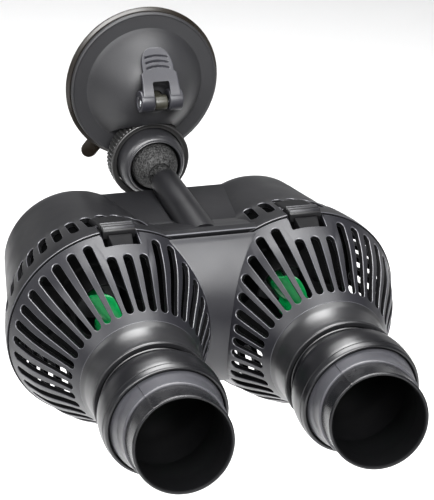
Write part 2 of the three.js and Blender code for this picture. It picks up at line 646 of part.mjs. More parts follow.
piece("suction_cup", suctionCup(), rubber, assembly);
piece("cup_shell", cupShell(), charcoal, assembly);
piece("pull_stem", pullStem(), olive, assembly);
piece("lever_pin", acrossPin(PIN_R, LEVER_WIDE / 2 - 0.2), steel, assembly);
piece("lock_lever", lockLever(), charcoal, assembly);
piece("ball_socket", ballSocket(), nutBlack, assembly);
piece("clamp_nut", clampNut(), nutBlack, assembly);
const seatBack = sphereArc(BALL_R + 1.2, 0, 5, BALL_R + 1.2, 5);
const seatFace = sphereArc(BALL_R + GAP + 0.1, 0, BALL_R + GAP + 0.1, 5, 5);
piece("ball_seat", turned([...seatBack, ...seatFace]), rubber, assembly, [0, BALL_Y, BALL_Z]);

const pump = new THREE.Group();
pump.rotation.x = PUMP_TILT;
pump.position.set(0, BALL_Y, BALL_Z).sub(BALL_IN_PUMP.clone().applyEuler(pump.rotation));
assembly.add(pump);

const stub = [[0, STUB_Y0], [STUB_R, STUB_Y0], [STUB_R, -11.4]];
const ball = turned([...stub, ...sphereArc(BALL_R, 0, -10.2, BALL_R, 9)], 24);
piece("mount_ball", ball, grained, pump, BALL_IN_PUMP.toArray());
piece("rear_housing", rearHousing(), charcoal, pump);
piece("front_cover", frontCover(), charcoal, pump);
const gland = [[0, -4], [3.1, -4], [3.1, GAP], [5, GAP], [5, 3], [3.6, 9], [2.4, 9], [2.4, 4], [0, 4]];
piece("cable_gland", turned(gland, 20), rubber, pump, [0, WEB_REAR_Y, 0]);

for (const [side, sign] of SIDES) {
  const head = new THREE.Group();
  head.position.x = sign * HEAD_X;
  pump.add(head);
  motor(side, head);
  piece(`${side}_latch`, sideways(latchProfile, -LATCH_HALF, LATCH_HALF), charcoal, head);
  piece(`${side}_nozzle_socket`, nozzleSocket(), gloss, head);
  const collarGroup = new THREE.Group();
  collarGroup.position.y = COLLAR_PIVOT_Y;
  collarGroup.rotation.z = AIM[side].collarPan * DEG;
  head.add(collarGroup);
  piece(`${side}_collar`, collar(), gloss, collarGroup);
  const nozzleGroup = new THREE.Group();
  nozzleGroup.position.y = -NOZZLE_PIVOT;
  nozzleGroup.rotation.set(-AIM[side].nozzleTilt * DEG, 0, AIM[side].nozzlePan * DEG, "ZYX");
  collarGroup.add(nozzleGroup);
  piece(`${side}_nozzle`, nozzle(), charcoal, nozzleGroup);
}

export default assembly;
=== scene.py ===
import json
import math

import bmesh
import bpy
import numpy as np
from mathutils import Matrix, Vector

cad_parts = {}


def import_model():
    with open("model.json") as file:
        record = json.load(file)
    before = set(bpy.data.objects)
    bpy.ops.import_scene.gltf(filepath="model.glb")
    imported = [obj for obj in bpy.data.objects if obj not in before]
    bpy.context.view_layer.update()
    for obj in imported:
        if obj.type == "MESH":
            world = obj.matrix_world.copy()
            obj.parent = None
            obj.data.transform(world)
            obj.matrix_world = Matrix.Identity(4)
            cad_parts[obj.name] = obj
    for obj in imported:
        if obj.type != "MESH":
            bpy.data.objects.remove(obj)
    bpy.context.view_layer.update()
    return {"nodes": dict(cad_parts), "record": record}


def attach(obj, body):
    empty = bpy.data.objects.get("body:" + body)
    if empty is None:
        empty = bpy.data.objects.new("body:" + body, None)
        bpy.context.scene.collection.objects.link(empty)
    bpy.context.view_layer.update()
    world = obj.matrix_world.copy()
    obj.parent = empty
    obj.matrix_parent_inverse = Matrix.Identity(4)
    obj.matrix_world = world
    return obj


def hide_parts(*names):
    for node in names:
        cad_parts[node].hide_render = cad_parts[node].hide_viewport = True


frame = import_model()

# Lengths below are millimetres. In the pump's own frame y = 0 is the casing's parting plane, -y is the way
# the water leaves and the two heads stand at x = +-HEAD_X. METRES turns every placed piece into metres.
HEAD_X = 42.0
WALL = 2.3
PUMP_TILT = math.radians(5.76)
BALL_IN_PUMP = Vector((0, 79, 32.1))
BALL = Vector((0, -21.8, -31.9))
SIDES = {"left": -1, "right": 1}
COLLAR_PIVOT_Y = -50
NOZZLE_PIVOT = 24
AIM = {"left": (0, -5, 13), "right": (2.2, -9.5, 13)}  # collar pan, nozzle pan, nozzle tilt, in degrees

METRES = Matrix.Scale(0.001, 4)
tilt = Matrix.Rotation(PUMP_TILT, 4, "X")
PUMP = Matrix.Translation(BALL - tilt @ BALL_IN_PUMP) @ tilt
HEAD = {s: PUMP @ Matrix.Translation((sign * HEAD_X, 0, 0)) for s, sign in SIDES.items()}
ROOT = Matrix.Identity(4)
NUT_AXIS = Matrix.Translation((0, 0, BALL.z))
COLLAR = {}
NOZZLE = {}
for side_name, (collar_pan, nozzle_pan, nozzle_tilt) in AIM.items():
    pan = Matrix.Rotation(math.radians(collar_pan), 4, "Z")
    COLLAR[side_name] = HEAD[side_name] @ Matrix.Translation((0, COLLAR_PIVOT_Y, 0)) @ pan
    turn = Matrix.Rotation(math.radians(nozzle_pan), 4, "Z")
    turn = turn @ Matrix.Rotation(math.radians(-nozzle_tilt), 4, "X")
    NOZZLE[side_name] = COLLAR[side_name] @ Matrix.Translation((0, -NOZZLE_PIVOT, 0)) @ turn


# ---------- materials ----------
def node(tree, kind, **values):
    """A new shader node. A value is a property or an input, whose spaces are written as underscores."""
    made = tree.nodes.new(kind)
    for key, value in values.items():
        if hasattr(made, key):
            setattr(made, key, value)
        else:
            made.inputs[key.replace("_", " ")].default_value = value
    return made


def noise(tree, coord, scale, detail):
    made = node(tree, "ShaderNodeTexNoise", Scale=scale, Detail=detail)
    tree.links.new(coord.outputs["Object"], made.inputs["Vector"])
    return made.outputs["Fac"]


def ramp(tree, fac, low, high, start=0.3, end=0.7):
    made = node(tree, "ShaderNodeValToRGB")
    for stop, position, color in zip(made.color_ramp.elements, (start, end), (low, high)):
        stop.position = position
        stop.color = (*color, 1)
    tree.links.new(fac, made.inputs["Fac"])
    return made.outputs["Color"]


def spread(tree, fac, low, high):
    made = node(tree, "ShaderNodeMapRange", From_Min=0.3, From_Max=0.7, To_Min=low, To_Max=high)
    tree.links.new(fac, made.inputs["Value"])
    return made.outputs["Result"]


def plastic(name, color, rough, grain, bump, vary=0.12, speck=0.1, spec=0.5, metal=0.0, depth=0.03, rub=0.05):
    """Plastic, rubber or metal: cloudy colour, fine grain in colour and relief, and uneven roughness."""
    mat = bpy.data.materials.new(name)
    mat.use_nodes = True
    tree = mat.node_tree
    shader = tree.nodes["Principled BSDF"]
    coord = node(tree, "ShaderNodeTexCoord")
    broad = noise(tree, coord, 28, 4)
    fine = noise(tree, coord, grain, 4)
    rubs = noise(tree, coord, 60, 3)
    low = [c * (1 - vary) for c in color]
    high = [c * (1 + vary) for c in color]
    clouds = ramp(tree, broad, low, high)
    specks = ramp(tree, fine, [1 - speck] * 3, [1 + speck] * 3, 0.35, 0.65)
    mix = node(tree, "ShaderNodeMix", data_type="RGBA", blend_type="MULTIPLY", Factor=1.0)
    tree.links.new(clouds, mix.inputs["A"])
    tree.links.new(specks, mix.inputs["B"])
    tree.links.new(mix.outputs["Result"], shader.inputs["Base Color"])
    worn = spread(tree, rubs, rough - rub, rough + rub)
    tree.links.new(worn, shader.inputs["Roughness"])
    relief = node(tree, "ShaderNodeBump", Strength=bump, Distance=depth * 0.001)
    tree.links.new(fine, relief.inputs["Height"])
    tree.links.new(relief.outputs["Normal"], shader.inputs["Normal"])
    shader.inputs["Specular IOR Level"].default_value = spec
    shader.inputs["Metallic"].default_value = metal
    return mat


CHARCOAL = plastic("satin_charcoal", (0.011, 0.011, 0.0135), 0.37, grain=2100, bump=0.14)
HOUSING = plastic("satin_housing", (0.006, 0.006, 0.007), 0.4, grain=2300, bump=0.16, spec=0.32)
# Painted shade: near-black plastic for inside walls, slot walls and the parts seen through the slots,
# standing in for the shade inside the heads.
PAINTED_SHADE_INSIDE = plastic("inner_walls_painted_shade", (0.004, 0.004, 0.0045), 0.6, grain=1500, bump=0.1, spec=0.15)
LATCH = plastic("latch_plastic", (0.005, 0.005, 0.0055), 0.45, grain=2100, bump=0.12, spec=0.35)
CATCH = plastic("rough_catch", (0.004, 0.004, 0.0045), 0.6, grain=1700, bump=0.6, spec=0.15, depth=0.12)
# Painted highlight: a lighter, glossier plastic for the bevels along slot edges and for the web's front lip,
# standing in for the light those edges catch.
PAINTED_HIGHLIGHT_EDGE = plastic("painted_highlight_edge", (0.05, 0.05, 0.056), 0.32, grain=2100, bump=0.1, spec=0.6)
NECK = plastic("gloss_neck", (0.012, 0.012, 0.013), 0.34, grain=1500, bump=0.04, spec=0.6, rub=0.02)
COLLAR_BLACK = plastic("gloss_collar", (0.006, 0.006, 0.007), 0.3, grain=1500, bump=0.04, spec=0.55, rub=0.02)
NOZZLE_GREY = plastic("satin_nozzle", (0.042, 0.042, 0.047), 0.38, grain=1500, bump=0.05, spec=0.6, rub=0.02)
NOZZLE_DARK = plastic("satin_tube", (0.006, 0.006, 0.007), 0.27, grain=1500, bump=0.05, rub=0.02)
RUBBER = plastic("cup_rubber", (0.009, 0.007, 0.005), 0.3, grain=1100, bump=0.08, vary=0.2)
SOFT_RUBBER = plastic("soft_rubber", (0.012, 0.012, 0.012), 0.6, grain=1500, bump=0.3)
SHELL = plastic("satin_shell", (0.015, 0.015, 0.0165), 0.52, grain=1900, bump=0.14)
LEVER = plastic("satin_lever", (0.018, 0.018, 0.022), 0.42, grain=2200, bump=0.14)
STEM = plastic("stem_plastic", (0.024, 0.023, 0.017), 0.4, grain=1800, bump=0.14)
SOCKET = plastic("gloss_socket", (0.02, 0.02, 0.022), 0.33, grain=1300, bump=0.06, spec=0.6)
NUT = plastic("gloss_nut", (0.025, 0.0247, 0.0245), 0.34, grain=1500, bump=0.12, spec=0.6)
GRAINED = plastic("grained_ball", (0.028, 0.028, 0.028), 0.5, grain=1350, bump=1.0, vary=0.2, speck=0.97,
                 depth=0.5, spec=0.2)
STEEL = plastic("pin_steel", (0.62, 0.63, 0.64), 0.3, grain=2500, bump=0.15, metal=1.0)
CERAMIC = plastic("shaft_ceramic", (0.76, 0.75, 0.71), 0.2, grain=1800, bump=0.05, vary=0.04, speck=0.04)
FERRITE = plastic("ferrite", (0.045, 0.045, 0.048), 0.5, grain=1500, bump=0.3)
IRON = plastic("core_steel", (0.42, 0.42, 0.43), 0.45, grain=900, bump=0.3, metal=1.0)
COPPER = plastic("coil_copper", (0.62, 0.25, 0.12), 0.35, grain=1400, bump=0.5, metal=1.0, depth=0.2)
RESIN = plastic("potting_resin", (0.014, 0.014, 0.016), 0.22, grain=400, bump=0.2, depth=0.1, spec=0.6)
GREEN = plastic("impeller_green", (0.002, 0.2, 0.055), 0.3, grain=700, bump=0.12, vary=0.25, spec=0.4)


# ---------- mesh helpers ----------
def new_object(name, data):
    obj = bpy.data.objects.new(name, data)
    bpy.context.scene.collection.objects.link(obj)
    return obj


class Shape:
    """Points in millimetres and the faces between them."""

    def __init__(self, points=(), faces=()):
        self.points = [tuple(p) for p in points]
        self.faces = [tuple(f) for f in faces]

    def add(self, other, matrix=None):
        start = len(self.points)
        if matrix is None:
            self.points += other.points
        else:
            self.points += [tuple(matrix @ Vector(p)) for p in other.points]
        self.faces += [tuple(i + start for i in f) for f in other.faces]
        return self


BODY_OF = {part: body for body, parts in frame["record"]["behaviour"]["bodies"].items() for part in parts}


def placed_object(name, shape, place, weld, outward=True):
    """A Blender object from a shape: placed, in metres, welded, smooth, with its faces turned out."""
    matrix = METRES @ place
    mesh = bpy.data.meshes.new(name)
    mesh.from_pydata([matrix @ Vector(p) for p in shape.points], [], shape.faces)
    bm = bmesh.new()
    bm.from_mesh(mesh)
    bmesh.ops.remove_doubles(bm, verts=bm.verts, dist=weld)
    if outward:
        bmesh.ops.recalc_face_normals(bm, faces=bm.faces)
    bm.to_mesh(mesh)
    bm.free()
    for polygon in mesh.polygons:
        polygon.use_smooth = True
    return new_object(name, mesh)


def solid_piece(name, shape, place, material, cad_node, sharp=35, outward=True):
    """A piece that stands for a CAD node: smooth but for its sharp edges, on that node's body."""
    obj = placed_object(name, shape, place, 2e-6, outward)
    obj.data.set_sharp_from_angle(angle=math.radians(sharp))
    obj.data.materials.append(material)
    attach(obj, BODY_OF[cad_node])
    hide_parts(cad_node)
    return obj


def turned(name, profile, segments, place, material, cad_node, sharp=35):
    """A body of revolution about the y axis of its place, as a piece."""
    return solid_piece(name, lathe(profile, segments), place, material, cad_node, sharp)


def rounded(points, closed=True, steps=3):
    """An outline with its corners rounded: each point is (r, y) or (r, y, radius)."""
    out = []
    count = len(points)
    for i, point in enumerate(points):
        corner = Vector(point[:2])
        radius = point[2] if len(point) > 2 else 0
        if not radius or (not closed and i in (0, count - 1)):
            out.append(tuple(corner))
            continue
        back = Vector(points[i - 1][:2]) - corner
        ahead = Vector(points[(i + 1) % count][:2]) - corner
        reach = min(radius, back.length * 0.48, ahead.length * 0.48)
        start = corner + back.normalized() * reach
        end = corner + ahead.normalized() * reach
        for k in range(steps + 1):
            t = k / steps
            out.append(tuple(start * (1 - t) ** 2 + corner * 2 * t * (1 - t) + end * t * t))
    return out


def lathe(profile, segments=128, closed=True, seam=None):
    """A body of revolution about y from points (r, y). A seam is a fine raised line: (degrees, height)."""
    angles = [2 * math.pi * i / segments for i in range(segments)]
    lift = [0.0] * segments
    if seam:
        at, height = seam
        for off, rise in ((-0.7, 0.0), (-0.3, height), (0.3, height), (0.7, 0.0)):
            angles.append(math.radians((at + off) % 360))
            lift.append(rise)
        order = sorted(range(len(angles)), key=lambda i: angles[i])
        angles = [angles[i] for i in order]
        lift = [lift[i] for i in order]
    count = len(angles)
    rows = len(profile)
    points = []
    for r, y in profile:
        for a, rise in zip(angles, lift):
            radius = r + (rise if r > 0 else 0)
            points.append((radius * math.cos(a), y, radius * math.sin(a)))
    faces = []
    for j in range(rows if closed else rows - 1):
        k = (j + 1) % rows
        if profile[j][0] == 0 and profile[k][0] == 0:
            continue
        for i in range(count):
            n = (i + 1) % count
            faces.append((j * count + i, j * count + n, k * count + n, k * count + i))
    return Shape(points, faces)


def arc(radius, centre, start, end, steps):
    """Points (r, y) on a sphere about y = centre, from one offset along the axis to another."""
    first = math.asin(max(-1, min(1, start / radius)))
    last = math.asin(max(-1, min(1, end / radius)))
    out = []
    for i in range(steps + 1):
        turn = first + (last - first) * i / steps
        away = radius * math.cos(turn)
        out.append((away if away > 1e-6 else 0, centre + radius * math.sin(turn)))
    return out


def quads(rows, width, closed):
    """The faces between neighbouring lines of points, and on round from last point to first if closed."""
    faces = []
    for j in range(rows - 1):
        for i in range(width if closed else width - 1):
            n = (i + 1) % width
            faces.append((j * width + i, j * width + n, (j + 1) * width + n, (j + 1) * width + i))
    return faces


def sheet_of(lines):
    """A sheet of quads through lines that all have the same number of points."""
    return Shape([p for line in lines for p in line], quads(len(lines), len(lines[0]), False))


def loft(loops, capped=True):
    """Quads between closed loops of the same number of points, with the first and last loops filled in."""
    count = len(loops[0])
    faces = quads(len(loops), count, True)
    if capped:
        faces.append(tuple(range(count)))
        faces.append(tuple(range((len(loops) - 1) * count, len(loops) * count)))
    return Shape([p for loop in loops for p in loop], faces)


def rounded_box(lo, hi, radius, steps=3):
    """A box with all its edges rounded, as a grid wrapped on a cube and pushed in to the radius."""
    cuts = [[], [], []]
    for axis in range(3):
        size = hi[axis] - lo[axis]
        r = min(radius, size * 0.49)
        ends = [r * (1 - math.cos(math.pi / 2 * k / steps)) for k in range(steps + 1)]
        cuts[axis] = [lo[axis] + e for e in ends] + [hi[axis] - e for e in reversed(ends)]
    shape = Shape()
    for axis in range(3):
        u, v = [i for i in range(3) if i != axis]
        for end in (0, -1):
            grid = [[[cuts[axis][end]] * 3 for b in cuts[v]] for a in cuts[u]]
            for line, a in zip(grid, cuts[u]):
                for p, b in zip(line, cuts[v]):
                    p[u] = a
                    p[v] = b
            shape.add(sheet_of(grid))
    core_lo = [min(lo[i] + radius, (lo[i] + hi[i]) / 2) for i in range(3)]
    core_hi = [max(hi[i] - radius, (lo[i] + hi[i]) / 2) for i in range(3)]
    out = []
    for p in shape.points:
        core = Vector([min(max(p[i], core_lo[i]), core_hi[i]) for i in range(3)])
        away = Vector(p) - core
        reach = min(radius, *[(hi[i] - lo[i]) / 2 for i in range(3)])
        out.append(tuple(core + away.normalized() * reach) if away.length > 1e-9 else tuple(p))
    shape.points = out
    return shape


def thicken(obj, painted_shade_rim=False):
    """Gives a sheet its wall, on the side its faces turn away from, with painted shade (a darker material) on
    its inside and, if asked, on its rim.
    """
    solid = obj.modifiers.new("wall", "SOLIDIFY")
    solid.thickness = WALL * 0.001
    solid.offset = -1
    solid.use_even_offset = True
    obj.data.materials.append(PAINTED_SHADE_INSIDE)
    solid.material_offset = 1
    solid.material_offset_rim = 1 if painted_shade_rim else 0


def paint(obj, place, material, wanted):
    """Gives a material to the faces whose centre and direction, in the piece's own frame, pass a test."""
    index = len(obj.data.materials)
    obj.data.materials.append(material)
    back = (METRES @ place).inverted()
    turn = place.to_3x3().inverted()
    for polygon in obj.data.polygons:
        if wanted(back @ polygon.center, turn @ polygon.normal):
            polygon.material_index = index


# Faces that look in towards a piece's axis, which get the painted shade.
def toward_axis(centre, normal):
    return centre.x * normal.x + centre.z * normal.z < -0.25 * math.hypot(centre.x, centre.z)


def ease(obj, width, segments=2, angle=40, finish=None):
    """Rounds an object's edges, and gives the new faces a material of their own if there is one; the lighter
    edge material makes a painted highlight along them.
    """
    edge = obj.modifiers.new("edges", "BEVEL")
    edge.width = width * 0.001
    edge.segments = segments
    edge.limit_method = "ANGLE"
    edge.angle_limit = math.radians(angle)
    if finish:
        obj.data.materials.append(finish)
        edge.material = len(obj.data.materials) - 1
        edge.use_clamp_overlap = False


# ---------- slotted sheets of revolution ----------
ACROSS = 8  # columns of faces across one slot's cell
GRID = 2.6  # length of a face along the sheet
MARGIN = 1.3  # from a slot's end to the end of its window, the part of its cell that bends round it
EASE_RATE = 1.6  # how fast a window's ends move over to its neighbours'


def shared(window, neighbour):
    """The ends that two neighbouring windows both keep on the line between their cells."""
    return min(window[0], neighbour[0]), max(window[1], neighbour[1])


def window_end(here, left, right):
    """One end of a window across its cell, eased to the shared ends at both sides."""
    line = []
    for i in range(ACROSS + 1):
        t = i / ACROSS
        side = left if t < 0.5 else right
        line.append(side + (here - side) * min((1 - abs(2 * t - 1)) * EASE_RATE, 1))
    return line


def slot_side(at, radius, angle, slot, rows, sign):
    """One straight edge of a slot."""
    s0, s1, w0, w1 = slot
    edge = []
    for j in range(rows + 1):
        t = j / rows
        s = s0 + w0 / 2 + (s1 - w1 / 2 - s0 - w0 / 2) * t
        half = (w0 + (w1 - w0) * t) / 2
        edge.append(at(angle + sign * half / radius(s), s))
    return edge


def slot_bow(at, radius, angle, s, width, sign):
    """One round end of a slot, about s along the sheet."""
    bow = []
    for i in range(ACROSS + 1):
        turn = math.pi * (1 - i / ACROSS)
        across = width / 2 * math.cos(turn)
        ahead = width / 2 * math.sin(turn) * sign
        bow.append(at(angle + across / radius(s), s + ahead))
    return bow


def slotted(radius, ends, count, phase, slot_of, direction):
    """A sheet of revolution about y with round-ended slots. radius(s) is its radius at distance s along
    the axis, ends the first and last s, and slot_of(angle) gives a slot's first s, last s, first width
    and last width, or None."""
    step = 2 * math.pi / count
    middles = [math.radians(phase) + k * step for k in range(count)]
    slots = [slot_of(angle) for angle in middles]
    cut = [slot for slot in slots if slot]
    widest = (min(slot[0] for slot in cut) - MARGIN, max(slot[1] for slot in cut) + MARGIN)
    windows = [(slot[0] - MARGIN, slot[1] + MARGIN) if slot else widest for slot in slots]
    rows = int((widest[1] - widest[0]) / GRID)
    rows_before = max(int((widest[0] - ends[0]) / GRID), 2)
    rows_after = max(int((ends[1] - widest[1]) / GRID), 2)

    def at(angle, s):
        r = radius(s)
        return (r * math.cos(angle), direction * s, r * math.sin(angle))

    def strip(angles, starts, stops, parts):
        lines = []
        for j in range(parts + 1):
            lines.append([at(a, s + (e - s) * j / parts) for a, s, e in zip(angles, starts, stops)])
        return sheet_of(lines)

    shape = Shape()
    for k, (angle, slot) in enumerate(zip(middles, slots)):
        here = windows[k]
        left = shared(here, windows[k - 1])
        right = shared(here, windows[(k + 1) % count])
        angles = [angle - step / 2 + step * i / ACROSS for i in range(ACROSS + 1)]
        first = window_end(here[0], left[0], right[0])
        last = window_end(here[1], left[1], right[1])
        shape.add(strip(angles, [ends[0]] * (ACROSS + 1), first, rows_before))
        shape.add(strip(angles, last, [ends[1]] * (ACROSS + 1), rows_after))
        if slot is None:
            shape.add(strip(angles, first, last, rows))
            continue
        for sign, rail_angle, (start, stop) in ((-1, angles[0], left), (1, angles[-1], right)):
            rail = [at(rail_angle, start + (stop - start) * j / rows) for j in range(rows + 1)]
            edge = slot_side(at, radius, angle, slot, rows, sign)
            pair = (rail, edge) if sign < 0 else (edge, rail)
            shape.add(sheet_of([list(p) for p in zip(*pair)]))
        s0, s1, w0, w1 = slot
        first_rim = [at(a, s) for a, s in zip(angles, first)]
        last_rim = [at(a, s) for a, s in zip(angles, last)]
        shape.add(sheet_of([first_rim, slot_bow(at, radius, angle, s0 + w0 / 2, w0, -1)]))
        shape.add(sheet_of([slot_bow(at, radius, angle, s1 - w1 / 2, w1, 1), last_rim]))
    return shape


def face_outward(shape):
    """Turns the faces of a sheet about the y axis so that most of them look away from the axis."""
    total = 0.0
    for f in shape.faces[:: max(len(shape.faces) // 400, 1)]:
        a, b, c = (Vector(shape.points[i]) for i in f[:3])
        normal = (b - a).cross(c - a)
        total += normal.dot(Vector((a.x, 0, a.z)))
    if total < 0:
        shape.faces = [tuple(reversed(f)) for f in shape.faces]
    return shape


# ---------- cages and panel of the front cover ----------
CAGE = [(0.8, 45.75), (3, 44.9), (8.6, 43), (15.3, 40.7), (22, 37.5), (28.6, 33.7), (35.3, 30), (42.4, 26.4)]
SLOT_COUNT = 36
SLOT_TIP_OUT = 3.8
SLOT_TIP_LATCH = 12.6
SLOT_TIP_IN = 38
SLOT_WIDE_OUT = 4.1
SLOT_WIDE_IN = 3.4
PANEL_DEPTH = 21.5
WEB_TOP_FRONT_Z = 41.2
WEB_HALF_X = 27
WEB_BOTTOM_Z = -28
PANEL_TOP_Z = WEB_TOP_FRONT_Z - 1.6
LATCH_HALF = 7.2
LATCH_SECTOR = math.radians(12)  # half the angle over which the slots start below the latch
PANEL_SECTOR = math.radians(75)  # half the angle over which the panel can cover the slots
PANEL_GAP = 2.2  # between the panel and the slots' tips
DEEPEST_TIP = 30
CAGE_EDGE = 0.3


def smooth_table(table, x):
    """A smooth curve through the points of a table, by cubic steps between them."""
    xs = [p[0] for p in table]
    ys = [p[1] for p in table]
    if x <= xs[0]:
        return ys[0]
    if x >= xs[-1]:
        return ys[-1]
    i = next(k for k in range(len(xs) - 1) if xs[k + 1] >= x)

    def slope(k):
        a = max(k - 1, 0)
        b = min(k + 1, len(xs) - 1)
        return (ys[b] - ys[a]) / (xs[b] - xs[a])

    h = xs[i + 1] - xs[i]
    t = (x - xs[i]) / h
    return (
        (2 * t**3 - 3 * t**2 + 1) * ys[i]
        + (t**3 - 2 * t**2 + t) * h * slope(i)
        + (3 * t**2 - 2 * t**3) * ys[i + 1]
        + (t**3 - t**2) * h * slope(i + 1)
    )


def cage_radius(depth):
    return smooth_table(CAGE, depth)


def panel_depth(z):
    return PANEL_DEPTH * (1 - (z / WEB_TOP_FRONT_Z) ** 2)


def covered_depth(angle):
    """How far forward the panel covers a cage at an angle from the line between the heads."""
    covered = 0
    for step in range(1, 2 * SLOT_TIP_IN):
        depth = step * 0.5
        r = cage_radius(depth)
        if r * math.cos(angle) > HEAD_X - WEB_HALF_X and panel_depth(r * math.sin(angle)) > depth:
            covered = depth
    return covered


def cage_slots(inward):
    """The slots of a cage whose other head lies on the inward side, +1 or -1."""

    def slot_of(angle):
        from_top = abs(math.atan2(math.cos(angle), math.sin(angle)))
        from_other = abs(math.atan2(math.sin(angle), inward * math.cos(angle)))
        tip = SLOT_TIP_LATCH if from_top < LATCH_SECTOR else SLOT_TIP_OUT
        if from_other < PANEL_SECTOR:
            tip = max(tip, min(covered_depth(from_other) + PANEL_GAP, DEEPEST_TIP))
        return tip, SLOT_TIP_IN, SLOT_WIDE_OUT, SLOT_WIDE_IN

    return slot_of


def cut_at_middle(obj, side):
    """Removes what lies past the plane midway between the heads."""
    bm = bmesh.new()
    bm.from_mesh(obj.data)
    geom = bm.verts[:] + bm.edges[:] + bm.faces[:]
    bmesh.ops.bisect_plane(bm, geom=geom, plane_co=(0, 0, 0), plane_no=(-side, 0, 0), clear_outer=True)
    bm.to_mesh(obj.data)
    bm.free()


def bake(obj):
    """Turns an object's modifiers into its mesh."""
    depsgraph = bpy.context.evaluated_depsgraph_get()
    mesh = bpy.data.meshes.new_from_object(obj.evaluated_get(depsgraph))
    obj.modifiers.clear()
    obj.data = mesh


def combine(obj, shape, place, operation="DIFFERENCE"):
    """Cuts a shape out of an object's mesh, or joins it on."""
    tool = placed_object("tool", shape, place, 1e-6)
    cut = obj.modifiers.new("cut", "BOOLEAN")
    cut.operation = operation
    cut.object = tool
    cut.solver = "EXACT"
    bake(obj)
    bpy.data.objects.remove(tool)


def finish_edges(obj, sharp=35):
    """Welds the points that a cut leaves close together, and shades the mesh smooth but for sharp edges."""
    bm = bmesh.new()
    bm.from_mesh(obj.data)
    bmesh.ops.remove_doubles(bm, verts=bm.verts, dist=1.5e-5)
    bm.to_mesh(obj.data)
    bm.free()
    for polygon in obj.data.polygons:
        polygon.use_smooth = True
    obj.data.set_sharp_from_angle(angle=math.radians(sharp))


def slotted_shell(side, name, sheet, material, cad_node, opening, edge):
    """A head's slotted sheet as a walled shell, cut at the middle plane and by an opening for the latch."""
    sheet = face_outward(sheet)
    obj = solid_piece(f"{side}_{name}", sheet, HEAD[side], material, cad_node, outward=False)
    cut_at_middle(obj, SIDES[side])
    # The slot walls and the inside of the shell get the painted shade.
    thicken(obj, painted_shade_rim=True)
    combine(obj, opening, HEAD[side])
    finish_edges(obj)
    # Bevels with the painted highlight along every slot edge, inside and out.
    ease(obj, edge, finish=PAINTED_HIGHLIGHT_EDGE)


def front_cover():
    """Both slotted cages and the curved panel between them."""
    latch_window = rounded_box((-LATCH_HALF - 0.6, -7.4, 40.8), (LATCH_HALF + 0.6, 3, 60), 0.5)
    ends = (CAGE[0][0], CAGE[-1][0])
    for side, sign in SIDES.items():
        sheet = slotted(cage_radius, ends, SLOT_COUNT, 0, cage_slots(-sign), -1)
        slotted_shell(side, "cage", sheet, CHARCOAL, "front_cover", latch_window, CAGE_EDGE)
    panel()


def panel():
    """The curved sheet between the cages, turned in at its top and bottom."""
    down = 44
    across = 20
    overlap = 0.9
    outline = [(0.9, PANEL_TOP_Z - 0.2), (panel_depth(PANEL_TOP_Z) - 0.4, PANEL_TOP_Z)]
    for i in range(down + 1):
        z = PANEL_TOP_Z - 0.35 + (WEB_BOTTOM_Z + 1.2 - PANEL_TOP_Z) * i / down
        outline.append((panel_depth(z), z))
    low = outline[-1][0]
    outline += [(low - 0.5, WEB_BOTTOM_Z + 0.25), (low - 1.6, WEB_BOTTOM_Z), (0.3, WEB_BOTTOM_Z)]
    lines = []
    for depth, z in outline:
        reach = HEAD_X - math.sqrt(cage_radius(depth) ** 2 - z * z) + overlap
        lines.append([(reach * (2 * i / across - 1), -depth, z) for i in range(across + 1)])
    sheet = sheet_of(lines)
    a, b, c = (Vector(sheet.points[i]) for i in sheet.faces[len(sheet.faces) // 2][:3])
    if (b - a).cross(c - a).y > 0:
        sheet.faces = [tuple(reversed(f)) for f in sheet.faces]
    obj = solid_piece("cover_panel", sheet, PUMP, CHARCOAL, "front_cover", outward=False)
    thicken(obj)
    ease(obj, 0.3)


# ---------- rear housing ----------
BARREL = [
    (0, 46.4), (5, 45.6), (12.6, 43.8), (19.3, 41.8), (25.5, 39.1),
    (40, 35.8), (61, 31), (65, 30), (67.6, 28.6),
]
BARREL_CURVED_Y = 25  # where the barrel's bulge ends and its straight taper begins
VENT_Y = (8.5, 26)
VENT_WIDE = 4.2
VENT_SHORT = 19.2
VENT_COUNT = 36
VENT_PHASE = {"left": 1, "right": 5}
VENT_INNERMOST = -0.45  # cosine of the angle past which the web leaves no room for vents
BARREL_END_Y = 67.6
BARREL_EDGE = 0.28
WEB_REAR_Y = 66
BAND = [
    (0, 41.2), (5.4, 40.65), (6.2, 39.8), (12, 38.2), (20, 34.6),
    (27, 31.4), (30, 29.2), (34, 28.2), (66, 24.4),
]
PLATEAU_INNER = [(27, 8.0), (66, 3.6)]
PLATEAU = [(22, 33.3), (27, 32.7), (66, 26.9)]


def straight_table(table, x):
    return float(np.interp(x, [p[0] for p in table], [p[1] for p in table]))


def barrel_radius(y):
    if y < BARREL_CURVED_Y:
        return smooth_table(BARREL[:6], y)
    return straight_table(BARREL, y)


def vents_of(side):
    """The vents round a barrel: none where the web is, and short ones behind the latch."""

    def slot_of(angle):
        if SIDES[side] * math.cos(angle) < VENT_INNERMOST:
            return None
        behind_latch = abs(math.degrees(angle) % 360 - 90) < 10
        return VENT_SHORT if behind_latch else VENT_Y[0], VENT_Y[1], VENT_WIDE, VENT_WIDE

    return slot_of


def barrels():
    """Both vented barrels behind the cages."""
    notch = rounded_box((-LATCH_HALF - 0.5, -3, 42.6), (LATCH_HALF + 0.5, 7.2, 60), 0.4)
    for side in SIDES:
        sheet = slotted(barrel_radius, (0, BARREL_END_Y), VENT_COUNT, VENT_PHASE[side], vents_of(side), 1)
        slotted_shell(side, "barrel", sheet, HOUSING, "rear_housing", notch, BARREL_EDGE)


def smooth_step(low, high, x):
    t = min(max((x - low) / (high - low), 0), 1)
    return t * t * (3 - 2 * t)


